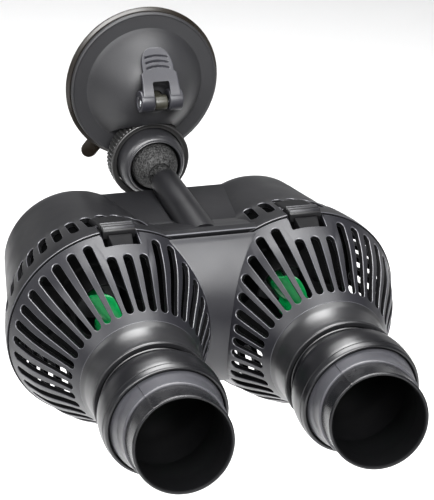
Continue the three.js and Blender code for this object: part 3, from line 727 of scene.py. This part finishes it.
def web_top(x, y):
    """Height of the web: a sloping band, then a channel with a raised pad on each side."""
    floor = straight_table(BAND, y)
    pad = straight_table(PLATEAU, y) - 30 * (1 - smooth_step(16, 27, y)) ** 3
    inner = straight_table(PLATEAU_INNER, y)
    blend = smooth_step(inner - 1.8, inner + 1.2, abs(x))
    return floor + (max(pad, floor) - floor) * blend


WEB_LIP = 0.45
WEB_REAR_EDGE = 1.6


def web_ring(y, inset):
    """A section of the web: across its top, down one side, back along its bottom and up the other side."""
    across = 72
    down = 24
    along_bottom = 8
    radius = barrel_radius(y) - 0.9
    bottom = WEB_BOTTOM_Z + 4 * y / WEB_REAR_Y + inset

    def reach(z):
        inside = radius * radius - z * z
        return max(HEAD_X - math.sqrt(inside), 0.3) if inside > 0 else HEAD_X

    top_x = 12.0
    for _ in range(12):
        top_x = reach(web_top(top_x, y) - inset)
    def wall(high, sign):
        levels = [high + (bottom - high) * j / down for j in range(1, down + 1)]
        return [(sign * reach(z), y, z) for z in levels]

    ring = []
    for i in range(across + 1):
        x = top_x * (2 * i / across - 1)
        ring.append((x, y, web_top(x, y) - inset))
    other_wall = wall(ring[0][2], -1)[-2::-1]
    ring += wall(ring[-1][2], 1)
    for i in range(1, along_bottom + 1):
        ring.append((reach(bottom) * (1 - 2 * i / along_bottom), y, bottom))
    return ring + other_wall


def web():
    """The web between the barrels, whose sides follow the barrels' round walls."""
    lengthwise = 84
    rounding = 4
    flat_end = WEB_REAR_Y - WEB_REAR_EDGE
    rings = [web_ring(0, WEB_LIP)]
    for i in range(lengthwise + 1):
        rings.append(web_ring(WEB_LIP + (flat_end - WEB_LIP) * i / lengthwise, 0.0))
    for k in range(1, rounding + 1):
        turn = math.pi / 2 * k / rounding
        y = flat_end + WEB_REAR_EDGE * math.sin(turn)
        rings.append(web_ring(y, WEB_REAR_EDGE * (1 - math.cos(turn))))
    obj = solid_piece("housing_web", loft(rings), PUMP, HOUSING, "rear_housing", sharp=28)
    # Painted highlight on the upward faces of the web's front lip.
    paint(obj, PUMP, PAINTED_HIGHLIGHT_EDGE, lambda centre, normal: centre.y < WEB_LIP and normal.z > 0.4)


ARM = [
    (0, 8), (8.2, 8), (8.0, 12), (7.2, 34), (6.4, 62.2, 1.3),
    (5.8, 63.0, 0.5), (3.5, 63.0, 0.3), (3.3, 54), (0, 54),
]


def arm():
    place = PUMP @ Matrix.Translation((0, 0, BALL_IN_PUMP.z))
    shape = lathe(rounded(ARM, closed=False, steps=4), 96, closed=False)
    solid_piece("housing_arm", shape, place, HOUSING, "rear_housing")


# ---------- latches ----------
TONGUE = [
    (6.6, 43.2), (6.6, 46.2, 0.6), (5.2, 46.5, 0.2), (4.7, 47.5, 0.3), (4.1, 47.5, 0.3), (3.7, 46.6, 0.2),
    (3.0, 46.6, 0.2), (2.6, 47.7, 0.3), (2.0, 47.7, 0.3), (1.6, 46.7, 0.2), (0.9, 46.7, 0.2),
    (0.5, 47.8, 0.3), (-0.1, 47.8, 0.3), (-0.5, 46.9, 0.2), (-1.6, 46.8, 0.4), (-1.6, 43.0, 0.3),
]
TONGUE_MIDDLE = (2.5, 45.4)
TONGUE_REACH = (4.1, 2.4)
RIDGE_TOP_Z = 47.3
# Each point is y, z and half the width there.
CATCH_OUTLINE = [(-1.9, 40.2, 5.3), (-1.9, 45.3, 5.3), (-7.6, 43.1, 4.6), (-7.6, 40.2, 4.6)]
PAD_Y = (7.0, 18.8)
PAD_HALF = LATCH_HALF - 0.1
PAD_LIFT = 0.7


def drawn_in(y, z, inset):
    """A point of the tongue's outline, moved in towards the outline's middle; its foot keeps its height."""
    y = TONGUE_MIDDLE[0] + (y - TONGUE_MIDDLE[0]) * (1 - inset / TONGUE_REACH[0])
    if z > 44:
        z = TONGUE_MIDDLE[1] + (z - TONGUE_MIDDLE[1]) * (1 - inset / TONGUE_REACH[1])
    return y, z


def latch_tongue(side):
    """The latch's ridged finger tongue, with eased ends."""
    ends = ((0, 0.35), (0.12, 0.1), (0.35, 0))
    stations = [(-LATCH_HALF + along, inset) for along, inset in ends]
    stations += [(LATCH_HALF - along, inset) for along, inset in reversed(ends)]
    outline = rounded(TONGUE)
    loops = [[(x, *drawn_in(y, z, inset)) for y, z in outline] for x, inset in stations]
    obj = solid_piece(f"{side}_latch_tongue", loft(loops), HEAD[side], LATCH, f"{side}_latch", sharp=30)
    # Painted highlight: the ridge tops get the lighter charcoal plastic.
    paint(obj, HEAD[side], CHARCOAL, lambda centre, normal: centre.z > RIDGE_TOP_Z)


def latch_catch(side):
    """The sloping catch in the cover's window, which the tongue hooks over."""
    points = []
    for y, z, wide in CATCH_OUTLINE:
        points += [(-wide, y, z), (wide, y, z)]
    faces = [(0, 2, 4, 6), (7, 5, 3, 1), (0, 1, 3, 2), (2, 3, 5, 4), (4, 5, 7, 6), (6, 7, 1, 0)]
    obj = solid_piece(f"{side}_latch_ramp", Shape(points, faces), HEAD[side], CATCH, "front_cover")
    ease(obj, 0.4, 3)


def latch_pad(side):
    """The low raised pad that the latch springs from, on the shoulder behind it."""
    columns = 24
    rows = 22
    loops = []
    for j in range(rows + 1):
        y = PAD_Y[0] + (PAD_Y[1] - PAD_Y[0]) * j / rows
        r = barrel_radius(y)
        line = []
        for i in range(columns + 1):
            x = PAD_HALF * (2 * i / columns - 1)
            lift = PAD_LIFT * smooth_step(0, 0.7, PAD_HALF - abs(x)) * smooth_step(0, 0.8, PAD_Y[1] - y)
            lift *= smooth_step(-0.4, 0.7, y - PAD_Y[0])
            line.append((x, y, math.sqrt(r * r - x * x) + lift - 0.25))
        loops.append(line + [(x, y, z - 1.6) for x, y, z in reversed(line)])
    solid_piece(f"{side}_latch_pad", loft(loops), HEAD[side], CATCH, "rear_housing", sharp=40)


def latches():
    for side in SIDES:
        latch_tongue(side)
        latch_catch(side)
        latch_pad(side)


# ---------- nozzles ----------
COLLAR_BALL_R = 23.1
NOZZLE_BALL_R = 24.6
PLAY = 0.4  # between a ball and its seat
SEAM_ANGLE = 128


def nozzle_socket(side):
    """The flared neck on a cage, with the collar's round seat inside."""
    seat = arc(COLLAR_BALL_R + PLAY, COLLAR_PIVOT_Y, -7.7, 7.3, 16)
    outside = rounded([
        (22.4, -38.5), (23.5, -38.5), (23.5, -42.5, 0.2), (26.6, -42.55, 0.25), (26.3, -43.2, 0.4),
        (25.4, -45.2, 2.0), (24.9, -49.7, 4), (25.1, -54.7, 2), (25.45, -56.9, 0.5), (25.2, -57.75, 0.45),
        (23.3, -57.75, 0.3), (22.6, -57.4, 0.2),
    ], closed=False, steps=4)
    obj = turned(f"{side}_neck", seat + outside, 160, HEAD[side], NECK, f"{side}_nozzle_socket", 45)
    # Painted shade on the neck's inside faces.
    paint(obj, HEAD[side], PAINTED_SHADE_INSIDE, toward_axis)


def collar(side):
    """The bulging ring with a ball at its back for the neck and a seat in front for the nozzle."""
    ball = arc(COLLAR_BALL_R, 0, 7.2, -9.9, 16)
    outside = rounded([
        (21.8, -10.2), (22.75, -10.8, 0.4), (24.2, -11.4, 0.7), (25.3, -12.8, 1.6), (26.2, -15.2, 2),
        (26.85, -19.3, 3), (26.85, -24.0, 2), (26.75, -25.2), (26.5, -25.35), (26.5, -25.75), (26.7, -25.9),
        (26.35, -27.8, 0.6), (25.9, -28.35, 0.4), (25.2, -28.35, 0.3),
    ], closed=False, steps=4)
    seat = arc(NOZZLE_BALL_R + PLAY, -NOZZLE_PIVOT, NOZZLE_PIVOT - 28.0, 11.4, 16)
    profile = ball + outside + seat + [(19.8, -8.4), (19.8, 6.4), (20.6, 7.2)]
    obj = turned(f"{side}_collar_ring", profile, 160, COLLAR[side], COLLAR_BLACK, f"{side}_collar", 40)
    # Painted shade on the collar's inside faces.
    paint(obj, COLLAR[side], PAINTED_SHADE_INSIDE, toward_axis)


def nozzle(side):
    """The ball end and the tube, as two pieces of one finish each."""
    ball = arc(NOZZLE_BALL_R, 0, 4.5, -10.2, 22) + rounded([
        (22.15, -12.2, 1.8), (22.1, -19.7, 0.3), (21.9, -20.45, 0.5), (21.2, -20.5), (20.2, -20.5),
        (19.8, -14), (22, 4.0),
    ], closed=False)
    tube = rounded([
        (20.2, -20.3), (21.1, -20.3, 0.2), (20.72, -31.0, 0.2), (21.0, -31.3, 0.2), (21.05, -32.2, 0.3),
        (20.7, -32.7, 0.25), (19.9, -32.7, 0.3), (19.4, -32.0, 0.4), (19.5, -20.3),
    ])
    halves = (("ball", ball, 0.16, NOZZLE_GREY), ("tube", tube, 0.12, NOZZLE_DARK))
    for name, profile, seam, material in halves:
        shape = lathe(profile, 160, seam=(SEAM_ANGLE, seam))
        obj = solid_piece(f"{side}_nozzle_{name}", shape, NOZZLE[side], material, f"{side}_nozzle", sharp=40)
        # Painted shade on the inside faces of the nozzle's ball and tube.
        paint(obj, NOZZLE[side], PAINTED_SHADE_INSIDE, toward_axis)


# ---------- inside the heads ----------
BLADES = 3
BLADE_Y = -7.5
HUB_R = 5.5
BLADE_SPAN = 16.5


def blade_section(t, start):
    """The closed outline of a blade at a share t of its span: cambered, twisted, narrower at the tip."""
    around = 20
    r = HUB_R + BLADE_SPAN * t
    chord = 10 + 6 * math.sin(math.pi * min(t * 0.8 + 0.1, 1))
    chord *= math.sqrt(max(1 - max(t - 0.86, 0) ** 2 / 0.0256, 0.25))
    pitch = math.radians(58 - 26 * t)
    thick = 1.7 - 0.7 * t
    camber = 0.9
    loop = []
    for k in range(around):
        turn = 2 * math.pi * k / around
        u = chord / 2 * math.cos(turn)
        v = thick / 2 * math.sin(turn) + camber * (math.cos(turn) ** 2)
        lengthwise = u * math.cos(pitch) - v * math.sin(pitch)
        axial = u * math.sin(pitch) + v * math.cos(pitch)
        angle = start + lengthwise / max(r, 9)
        loop.append((r * math.cos(angle), BLADE_Y + max(-7.4, min(7.4, axial)), r * math.sin(angle)))
    return loop


def impeller(side):
    """A hub with twisted, round-cornered blades, on a long sleeve through the magnet."""
    shape = lathe(rounded([
        (1.8, -17), (3.6, -17, 0.8), (6.2, -14.4, 2), (7, -11, 2), (7, 2, 0.4), (3.9, 2, 0.4),
        (3.9, 49, 0.2), (1.8, 49),
    ], steps=4), 64)
    sections = 16
    for blade in range(BLADES):
        start = math.radians(360 / BLADES * blade - 2)
        shape.add(loft([blade_section(i / sections, start) for i in range(sections + 1)]))
    solid_piece(f"{side}_impeller_moulding", shape, HEAD[side], GREEN, f"{side}_impeller")


def shaft_support(side):
    """A spider that holds the front end of the shaft in the neck."""
    ring = rounded([(20.6, -38.1, 0.3), (23.4, -38.1, 0.3), (23.4, -34.6, 0.3), (20.6, -34.6, 0.3)])
    hub = rounded([(2.9, -39, 0.3), (4.6, -39, 0.6), (4.6, -34.6, 0.4), (2.9, -34.6, 0.2)])
    shape = lathe(ring, 128)
    shape.add(lathe(hub, 48))
    spoke = rounded_box((3.8, -38.0, -0.9), (21.2, -34.8, 0.9), 0.6)
    for i in range(3):
        shape.add(spoke, Matrix.Rotation(math.radians(-30 - 120 * i), 4, "Y"))
    # The whole spider gets the painted shade.
    solid_piece(f"{side}_front_spider", shape, HEAD[side], PAINTED_SHADE_INSIDE, f"{side}_shaft_support")


def motor_can(side):
    """The wall behind the impeller, with the rotor's closed can and stiffening ribs."""
    shape = lathe(rounded([
        (0.01, 57), (13.6, 57, 1.2), (13.6, 29.3, 1), (35.4, 29.3), (35.4, 27.2), (13.6, 27.2, 2),
        (13.6, 10.5, 0.5), (12.6, 10.5, 0.3), (12.6, 55.5), (3.6, 55.5), (3.6, 51.5), (2.6, 51.5),
        (2.6, 55.8), (0.01, 55.8),
    ], closed=False, steps=4), 96)
    rib = rounded_box((13, 24.5, -0.7), (34, 27.6, 0.7), 0.35)
    for i in range(6):
        shape.add(rib, Matrix.Rotation(math.radians(60 * i + 15), 4, "Y"))
    # The whole motor wall gets the painted shade.
    solid_piece(f"{side}_motor_wall", shape, HEAD[side], PAINTED_SHADE_INSIDE, f"{side}_motor_can")


def potting(side):
    """The resin that closes a barrel's rear end."""
    profile = rounded([
        (0.01, 66.0), (12, 66.05), (24.5, 66.1, 1), (26.2, 66.5), (26.2, 59.2), (0.01, 59.2),
    ], closed=False)
    turned(f"{side}_resin", profile, 96, HEAD[side], RESIN, f"{side}_potting")


def gland():
    """The ribbed cord gland on the web's rear wall."""
    profile = rounded([
        (2.4, 4), (2.4, 9, 0.3), (3.6, 9, 0.5), (4.0, 7.4), (3.7, 7.1), (3.9, 6.6), (4.3, 6.2), (4.1, 5.8),
        (4.5, 5.3), (4.9, 3.2, 0.5), (5, 0.3, 0.2), (3.1, 0.3), (3.1, -4), (0.01, -4), (0.01, 4),
    ])
    place = PUMP @ Matrix.Translation((0, WEB_REAR_Y, 0))
    turned("cord_gland", profile, 64, place, SOFT_RUBBER, "cable_gland")


INNER_FINISH = {
    "rear_bush": SOFT_RUBBER, "front_bush": SOFT_RUBBER, "shaft": CERAMIC, "rotor_magnet": FERRITE,
    "stator_core": IRON, "stator_coil": COPPER,
}


def inner_finishes():
    """CAD pieces that stay as they are inside the heads, each with its material."""
    for side in SIDES:
        for name, material in INNER_FINISH.items():
            mesh = frame["nodes"][f"{side}_{name}"].data
            mesh.materials.clear()
            mesh.materials.append(material)


# ---------- suction mount ----------
CUP_R = 36.1
SHELL_R = 34.4
SHELL_FACE = 4.3
DOME_R = 27
DOME_MOUTH_R = 8.6
DOME_TOP = 21.2
NUT_R = 18.4
BALL_R = 10.9
LEVER_PIVOT = 26.5
PIN_R = 1.4


def rod_shape(radius, y0, y1, segments=96):
    return lathe([(0.001, y0), (radius, y0), (radius, y1), (0.001, y1)], segments)


def suction_cup():
    profile = rounded([
        (0.01, -2.9), (3.4, -2.9), (3.4, -5.8, 0.4), (5.4, -5.8, 0.6), (6, -3.5, 0.4), (13, -3.4),
        (29.4, -1.6), (34.6, -1.75, 0.3), (35.4, -1.3, 0.5), (CUP_R, -0.95, 0.4), (CUP_R, -0.15, 0.25),
        (CUP_R - 0.6, 0, 0.3), (30.6, 0), (27.1, -0.7, 1.5), (24, -0.85), (23.5, -0.6, 0.3),
        (23, -0.9, 0.3), (10, -1.6), (0.01, -1.8),
    ], closed=False, steps=4)
    turned("rubber_disc", profile, 160, ROOT, RUBBER, "suction_cup")
    tab()


TAB_HALF = 3.9
TAB_ROOT = CUP_R - 2.5
TAB_STRAIGHT = 4.8 + CUP_R - 2
TAB_ANGLE = -142


def tab():
    """The round-ended pull tab at the cup's edge."""
    round_end = 18
    outline = [(-TAB_HALF, TAB_ROOT), (-TAB_HALF, TAB_STRAIGHT)]
    for i in range(1, round_end):
        turn = math.pi * (1 - i / round_end)
        outline.append((TAB_HALF * math.cos(turn), TAB_STRAIGHT + TAB_HALF * math.sin(turn)))
    outline += [(TAB_HALF, TAB_STRAIGHT), (TAB_HALF, TAB_ROOT)]
    middle = TAB_STRAIGHT - 2
    loops = []
    for y, inset in ((-1.1, 0.3), (-1.02, 0.08), (-0.85, 0), (-0.4, 0), (-0.25, 0.25)):
        narrower = 1 - inset / TAB_HALF
        shorter = 1 - inset / 6
        loops.append([(x * narrower, y, middle + (z - middle) * shorter) for x, z in outline])
    place = Matrix.Rotation(math.radians(TAB_ANGLE), 4, "Y")
    solid_piece("pull_tab", loft(loops), place, RUBBER, "suction_cup")


def dome_profile(steps):
    """The dome's outline from the shell's face up to the mouth round the stem, as (radius, y)."""
    out = []
    for i in range(1, steps + 1):
        t = i / steps
        rise = math.sin(t * math.pi / 2) ** 1.05
        out.append((DOME_R + (DOME_MOUTH_R - DOME_R) * t, -(SHELL_FACE + (DOME_TOP - SHELL_FACE) * rise)))
    return out


def shell_hollow(dome):
    """The space inside the shell, which leaves a wall round the ring nut."""
    lining = [(r - WALL * 0.9, y + WALL * 0.8) for r, y in dome if y + WALL * 0.8 < -4.5]
    cavity = [(0.01, 1), (32.8, 1), (32.8, -2.3), (28.2, -2.5), (26.6, -3.9)] + lining + [(0.01, -19.3)]
    inner = placed_object("hollow", lathe(cavity, 96), ROOT, 2e-6)
    combine(inner, rod_shape(NUT_R + 2.6, -60, 5), NUT_AXIS)
    points = [tuple(v.co * 1000) for v in inner.data.vertices]
    faces = [tuple(polygon.vertices) for polygon in inner.data.polygons]
    bpy.data.objects.remove(inner)
    return Shape(points, faces)


def cup_shell():
    """The domed shell, cut away round the ring nut, hollow inside and bored for the stem."""
    dome = dome_profile(28)
    rim = rounded([
        (0.01, -2.2), (SHELL_R, -2.2, 0.2), (SHELL_R, -4.1, 0.35), (33.6, -4.45, 0.3), (33.2, -4.2, 0.2),
        (DOME_R + 0.3, -SHELL_FACE + 0.1, 0.2),
    ], closed=False, steps=3)
    mouth = rounded([(7.8, -21.25), (6.8, -21.25, 0.5), (5.4, -20.4, 0.5), (0.01, -20.4)], closed=False)
    obj = turned("shell_moulding", rim + dome + mouth, 144, ROOT, SHELL, "cup_shell")
    hollow = shell_hollow(dome)
    combine(obj, rod_shape(NUT_R + 0.6, -60, -SHELL_FACE, 160), NUT_AXIS)
    combine(obj, hollow, ROOT)
    combine(obj, rod_shape(11, -5.9, -2.6), NUT_AXIS, "UNION")
    combine(obj, rod_shape(3.4, -60, 1, 48), ROOT)
    finish_edges(obj)
    ease(obj, 0.4, 3, 45)


def ball_socket():
    """The collet that the ball sits in, with its parted lip."""
    inner = arc(BALL_R + 1.6, 0, BALL_R + 1.6, -1.2, 24)
    lip = rounded([
        (12.0, -2.6), (11.7, -2.95, 0.2), (12.1, -3.3, 0.3), (12.5, -3.0, 0.2), (12.7, -2.4, 0.3),
        (13.3, -2.2, 0.5), (14.4, -1.0, 1.4), (15.2, 1.6, 1.4), (15.4, 4.2), (15.4, 12, 0.5),
        (13.4, 15.6, 0.5), (0.01, 15.6),
    ], closed=False, steps=4)
    turned("ball_collet", inner + lip, 128, Matrix.Translation(BALL), SOCKET, "ball_socket")


RIBS = 62
RIB_DEPTH = 0.85
RIB_WAVE = [0, 0, 0.25, 0.75, 0.75, 0.25]
NUT_PROFILE = [  # radius, y, share of the ribs' depth
    (15.7, -16.2, 0), (15.9, -16.6, 0), (16.4, -16.7, 0), (17.0, -16.9, 0), (17.5, -17.4, 0),
    (17.8, -17.6, 0), (18.1, -17.55, 0), (18.35, -17.2, 0), (18.4, -16.7, 0), (18.3, -16.2, 0),
    (18.0, -15.9, 0), (18.0, -15.7, 0.3), (18.4, -15.5, 1), (18.4, -12.4, 1), (18.1, -12.2, 1),
    (18.1, -8.7, 1), (17.9, -8.3, 0.5), (17.5, -8.1, 0), (15.7, -8.1, 0),
]


def clamp_nut():
    """A ring nut with a fine ribbed grip, a smooth rim and a groove round its face."""
    count = RIBS * len(RIB_WAVE)
    loops = []
    for r, y, share in NUT_PROFILE:
        loop = []
        for i in range(count):
            turn = 2 * math.pi * i / count
            radius = r - RIB_DEPTH * share * RIB_WAVE[i % len(RIB_WAVE)]
            loop.append((radius * math.cos(turn), y, radius * math.sin(turn)))
        loops.append(loop)
    shape = loft(loops + [loops[0]], capped=False)
    solid_piece("ring_nut", shape, NUT_AXIS, NUT, "clamp_nut", sharp=50)


def ball_and_seat():
    """The grained ball with its stub into the arm, and the rubber seat behind it."""
    stub = rounded([
        (0.01, -17.6), (3, -17.6, 0.3), (3, -8.9, 0.4), (4.9, -8.9, 0.4), (5.5, -9.45, 0.3),
    ], closed=False, steps=4)
    ball = stub + arc(BALL_R, 0, -9.2, BALL_R, 48)
    place = PUMP @ Matrix.Translation(BALL_IN_PUMP)
    turned("grained_ball", ball, 96, place, GRAINED, "mount_ball")
    back = BALL_R + 1.2
    face = BALL_R + 0.4
    seat = arc(back, 0, 5, back, 20) + arc(face, 0, face, 5, 20)
    turned("rubber_seat", seat, 96, Matrix.Translation(BALL), SOFT_RUBBER, "ball_seat")


LEVER_LOW_Z = 1.0
LEVER_TIP_Z = 21.2
PLATE_FRONT = 1.2
PLATE_BEHIND = 0.6
LINE_START = (-29.0, 3.6)  # y and z of the plate's centre line at t = 0
LINE_RISE = (14.9, 17.6)
LINE_BEND = 1.25
GROOVES = (11.0, 12.8, 14.6)  # radii of the grip grooves, about a point low on the plate
SLOT_HALF = 3.9
SLOT_TOP_Z = 9.9
SLOT_CORNER = 0.9
KNUCKLE_R = 4.9
KNUCKLES = {"left": (-9.8, -3.4), "right": (3.4, 9.8)}


def lever_line(t):
    """Centre of the lever's plate from its lower end to its tip: (y, z) and the unit direction along it."""
    y = LINE_START[0] + LINE_RISE[0] * max(t, 0) ** LINE_BEND
    z = LINE_START[1] + LINE_RISE[1] * t
    dy = LINE_RISE[0] * LINE_BEND * max(t, 0.001) ** (LINE_BEND - 1)
    length = math.hypot(dy, LINE_RISE[1])
    return y, z, dy / length, LINE_RISE[1] / length


def lever_half(z):
    """Half the plate's width: a wide lower plate, a small step at each side, and a round tongue."""
    wide = 8.9 - 0.5 * smooth_step(3, 11, z)
    tongue = 7.35
    half = wide + (tongue - wide) * smooth_step(12.2, 12.8, z)
    top = 13.9
    if z > top:
        half = tongue * max(1 - ((z - top) / tongue) ** 2.5, 0) ** 0.4
    return half


def groove_depth(x, z):
    """Depth of the curved grip grooves at a point of the lever's face."""
    reach = math.hypot(x * 0.75, z - LINE_START[1])
    depth = 0.0
    for radius in GROOVES:
        near = 1 - min(abs(reach - radius) / 0.5, 1)
        depth += 0.8 * near * near * (3 - 2 * near)
    return depth * smooth_step(0, 0.7, 5.6 - abs(x))


def rounding_loss(share):
    """How far below a flat face a rounded edge lies, in radii: 1 at the edge itself, 0 a radius in."""
    return 1 - math.sqrt(share * (2 - share))


def lever_plate():
    """A plate that follows the dome, with eased edges and a raised rim round its face."""
    stations = 120
    edge_steps = [0.95, 0.975, 0.992, 1]
    across = [-u for u in reversed(edge_steps)] + [-0.9 + 1.8 * i / 40 for i in range(41)] + edge_steps
    loops = []
    for i in range(stations + 1):
        level = LEVER_LOW_Z + (LEVER_TIP_Z - LEVER_LOW_Z) * (1 - (1 - i / stations) ** 1.5)
        y, z, dy, dz = lever_line((level - LINE_START[1]) / LINE_RISE[1])
        half = max(lever_half(level), 0.3)
        tip = min(1, max(LEVER_TIP_Z - level, 0.02) / 0.7)
        front = []
        back = []
        for u in across:
            edge = min((1 - abs(u)) * half / 0.4, 1)
            out = PLATE_FRONT - 0.4 * rounding_loss(edge) - 0.35 * rounding_loss(tip)
            out -= groove_depth(half * u, level)
            front.append((half * u, y - out * dz, z + out * dy))
            out = -PLATE_BEHIND + 0.3 * rounding_loss(edge)
            back.append((half * u, y - out * dz, z + out * dy))
        loops.append(front + back[::-1])
    return loft(loops)


def lever_slot():
    """The lever's slot, open at the bottom, with two rounded upper corners."""
    outline = rounded([
        (-SLOT_HALF, -12), (-SLOT_HALF, SLOT_TOP_Z, SLOT_CORNER), (SLOT_HALF, SLOT_TOP_Z, SLOT_CORNER),
        (SLOT_HALF, -12),
    ], closed=False, steps=5)
    return loft([[(x, y, z) for x, z in outline] for y in (-40, -18)])


def lever_knuckle(x0, x1):
    """A hinge knuckle round the pin, whose outside sits a little nearer the plate than its bore."""
    hole = PIN_R + 0.15
    raw = lathe(rounded([
        (hole, x0 + 0.5, 0.2), (hole + 1, x0 + 0.5, 0.2), (hole + 1.3, x0, 0.2), (KNUCKLE_R, x0, 0.6),
        (KNUCKLE_R, x1, 0.6), (hole, x1, 0.2),
    ], steps=4), 96)
    moved = []
    for y, along, z in raw.points:
        share = (math.hypot(y, z) - hole) / (KNUCKLE_R - hole)
        moved.append((along, y - LEVER_PIVOT + 0.2 * share, z + 0.9 * share))
    return Shape(moved, raw.faces)


def lock_lever():
    obj = solid_piece("lever_arm", lever_plate(), ROOT, LEVER, "lock_lever", sharp=40)
    combine(obj, lever_slot(), ROOT)
    finish_edges(obj, 32)
    for name, ends in KNUCKLES.items():
        solid_piece(f"lever_knuckle_{name}", lever_knuckle(*ends), ROOT, LEVER, "lock_lever", sharp=40)


def on_hinge(shape):
    """A shape turned about the Y axis, laid along the lever's hinge instead."""
    return Shape([(y, x - LEVER_PIVOT, z) for x, y, z in shape.points], shape.faces)


def stem_and_pin():
    """The stem that the lever pulls, and the steel pin through both."""
    stem = lathe(rounded([(0.01, -24), (3, -24), (3, -4.4, 0.3), (0.01, -4.4)], closed=False, steps=4), 48)
    bore = PIN_R + 0.1
    head = lathe(rounded([(bore, -2.9, 0.1), (3.4, -2.9, 0.5), (3.4, 2.9, 0.5), (bore, 2.9, 0.1)]), 48)
    stem.add(on_hinge(head))
    solid_piece("stem_moulding", stem, ROOT, STEM, "pull_stem")
    pin = rounded([(0.01, -9.5), (PIN_R, -9.5, 0.3), (PIN_R, 9.5, 0.3), (0.01, 9.5)], closed=False, steps=4)
    solid_piece("hinge_pin", on_hinge(lathe(pin, 40)), ROOT, STEEL, "lever_pin")


# ---------- all pieces ----------
front_cover()
barrels()
web()
arm()
latches()
gland()
for side_name in SIDES:
    nozzle_socket(side_name)
    collar(side_name)
    nozzle(side_name)
    impeller(side_name)
    shaft_support(side_name)
    motor_can(side_name)
    potting(side_name)
inner_finishes()
suction_cup()
cup_shell()
ball_socket()
clamp_nut()
ball_and_seat()
lock_lever()
stem_and_pin()


# ---------- camera, floor and light ----------
def camera():
    data = bpy.data.cameras.new("camera")
    data.lens = 186.2
    data.sensor_width = 36
    obj = new_object("camera", data)
    right = Vector((0.94177, -0.33215, 0.05245))
    up = Vector((0.09011, 0.39953, 0.91229))
    back = Vector((-0.32397, -0.85443, 0.40619))
    turn = Matrix((right, up, back)).transposed().to_4x4()
    obj.matrix_world = Matrix.Translation((-0.35599, -1.04789, 0.41018)) @ turn
    bpy.context.scene.camera = obj


def floor():
    mesh = bpy.data.meshes.new("floor")
    half = 6
    level = -0.34
    corners = [(-half, -half, level), (half, -half, level), (half, half, level), (-half, half, level)]
    mesh.from_pydata(corners, [], [(0, 1, 2, 3)])
    mat = bpy.data.materials.new("floor")
    mat.use_nodes = True
    shader = mat.node_tree.nodes["Principled BSDF"]
    shader.inputs["Base Color"].default_value = (0.7, 0.7, 0.7, 1)
    shader.inputs["Roughness"].default_value = 0.9
    shader.inputs["Specular IOR Level"].default_value = 0.1
    mesh.materials.append(mat)
    new_object("floor", mesh)


def area_light(name, place, target, size, watts):
    data = bpy.data.lights.new(name, "AREA")
    data.shape = "RECTANGLE"
    data.size, data.size_y = size
    data.energy = watts
    obj = new_object(name, data)
    obj.location = place
    obj.rotation_euler = (Vector(target) - Vector(place)).to_track_quat("-Z", "Y").to_euler()


def world():
    """A dim studio overhead with a pale backdrop round the horizon."""
    made = bpy.data.worlds.new("studio")
    made.use_nodes = True
    tree = made.node_tree
    coord = node(tree, "ShaderNodeTexCoord")
    split = node(tree, "ShaderNodeSeparateXYZ")
    tree.links.new(coord.outputs["Generated"], split.inputs["Vector"])
    shade = ramp(tree, split.outputs["Z"], [0.8] * 3, (0.11, 0.11, 0.115), 0.06, 0.3)
    tree.links.new(shade, tree.nodes["Background"].inputs["Color"])
    bpy.context.scene.world = made


camera()
floor()
world()
TARGET = (0, -0.09, -0.07)
area_light("front", (-0.2, -1.06, 0.76), TARGET, (1.4, 0.72), 49)
area_light("top", (0.1, 0.05, 1.0), TARGET, (1.0, 0.9), 15)
area_light("back_top", (-0.1, 0.45, 0.95), TARGET, (0.8, 0.5), 13)
area_light("left", (-1.0, -0.3, 0.55), TARGET, (0.6, 0.6), 5)
bpy.context.scene.view_settings.view_transform = "Standard"
bpy.context.scene.view_settings.look = "Medium High Contrast"
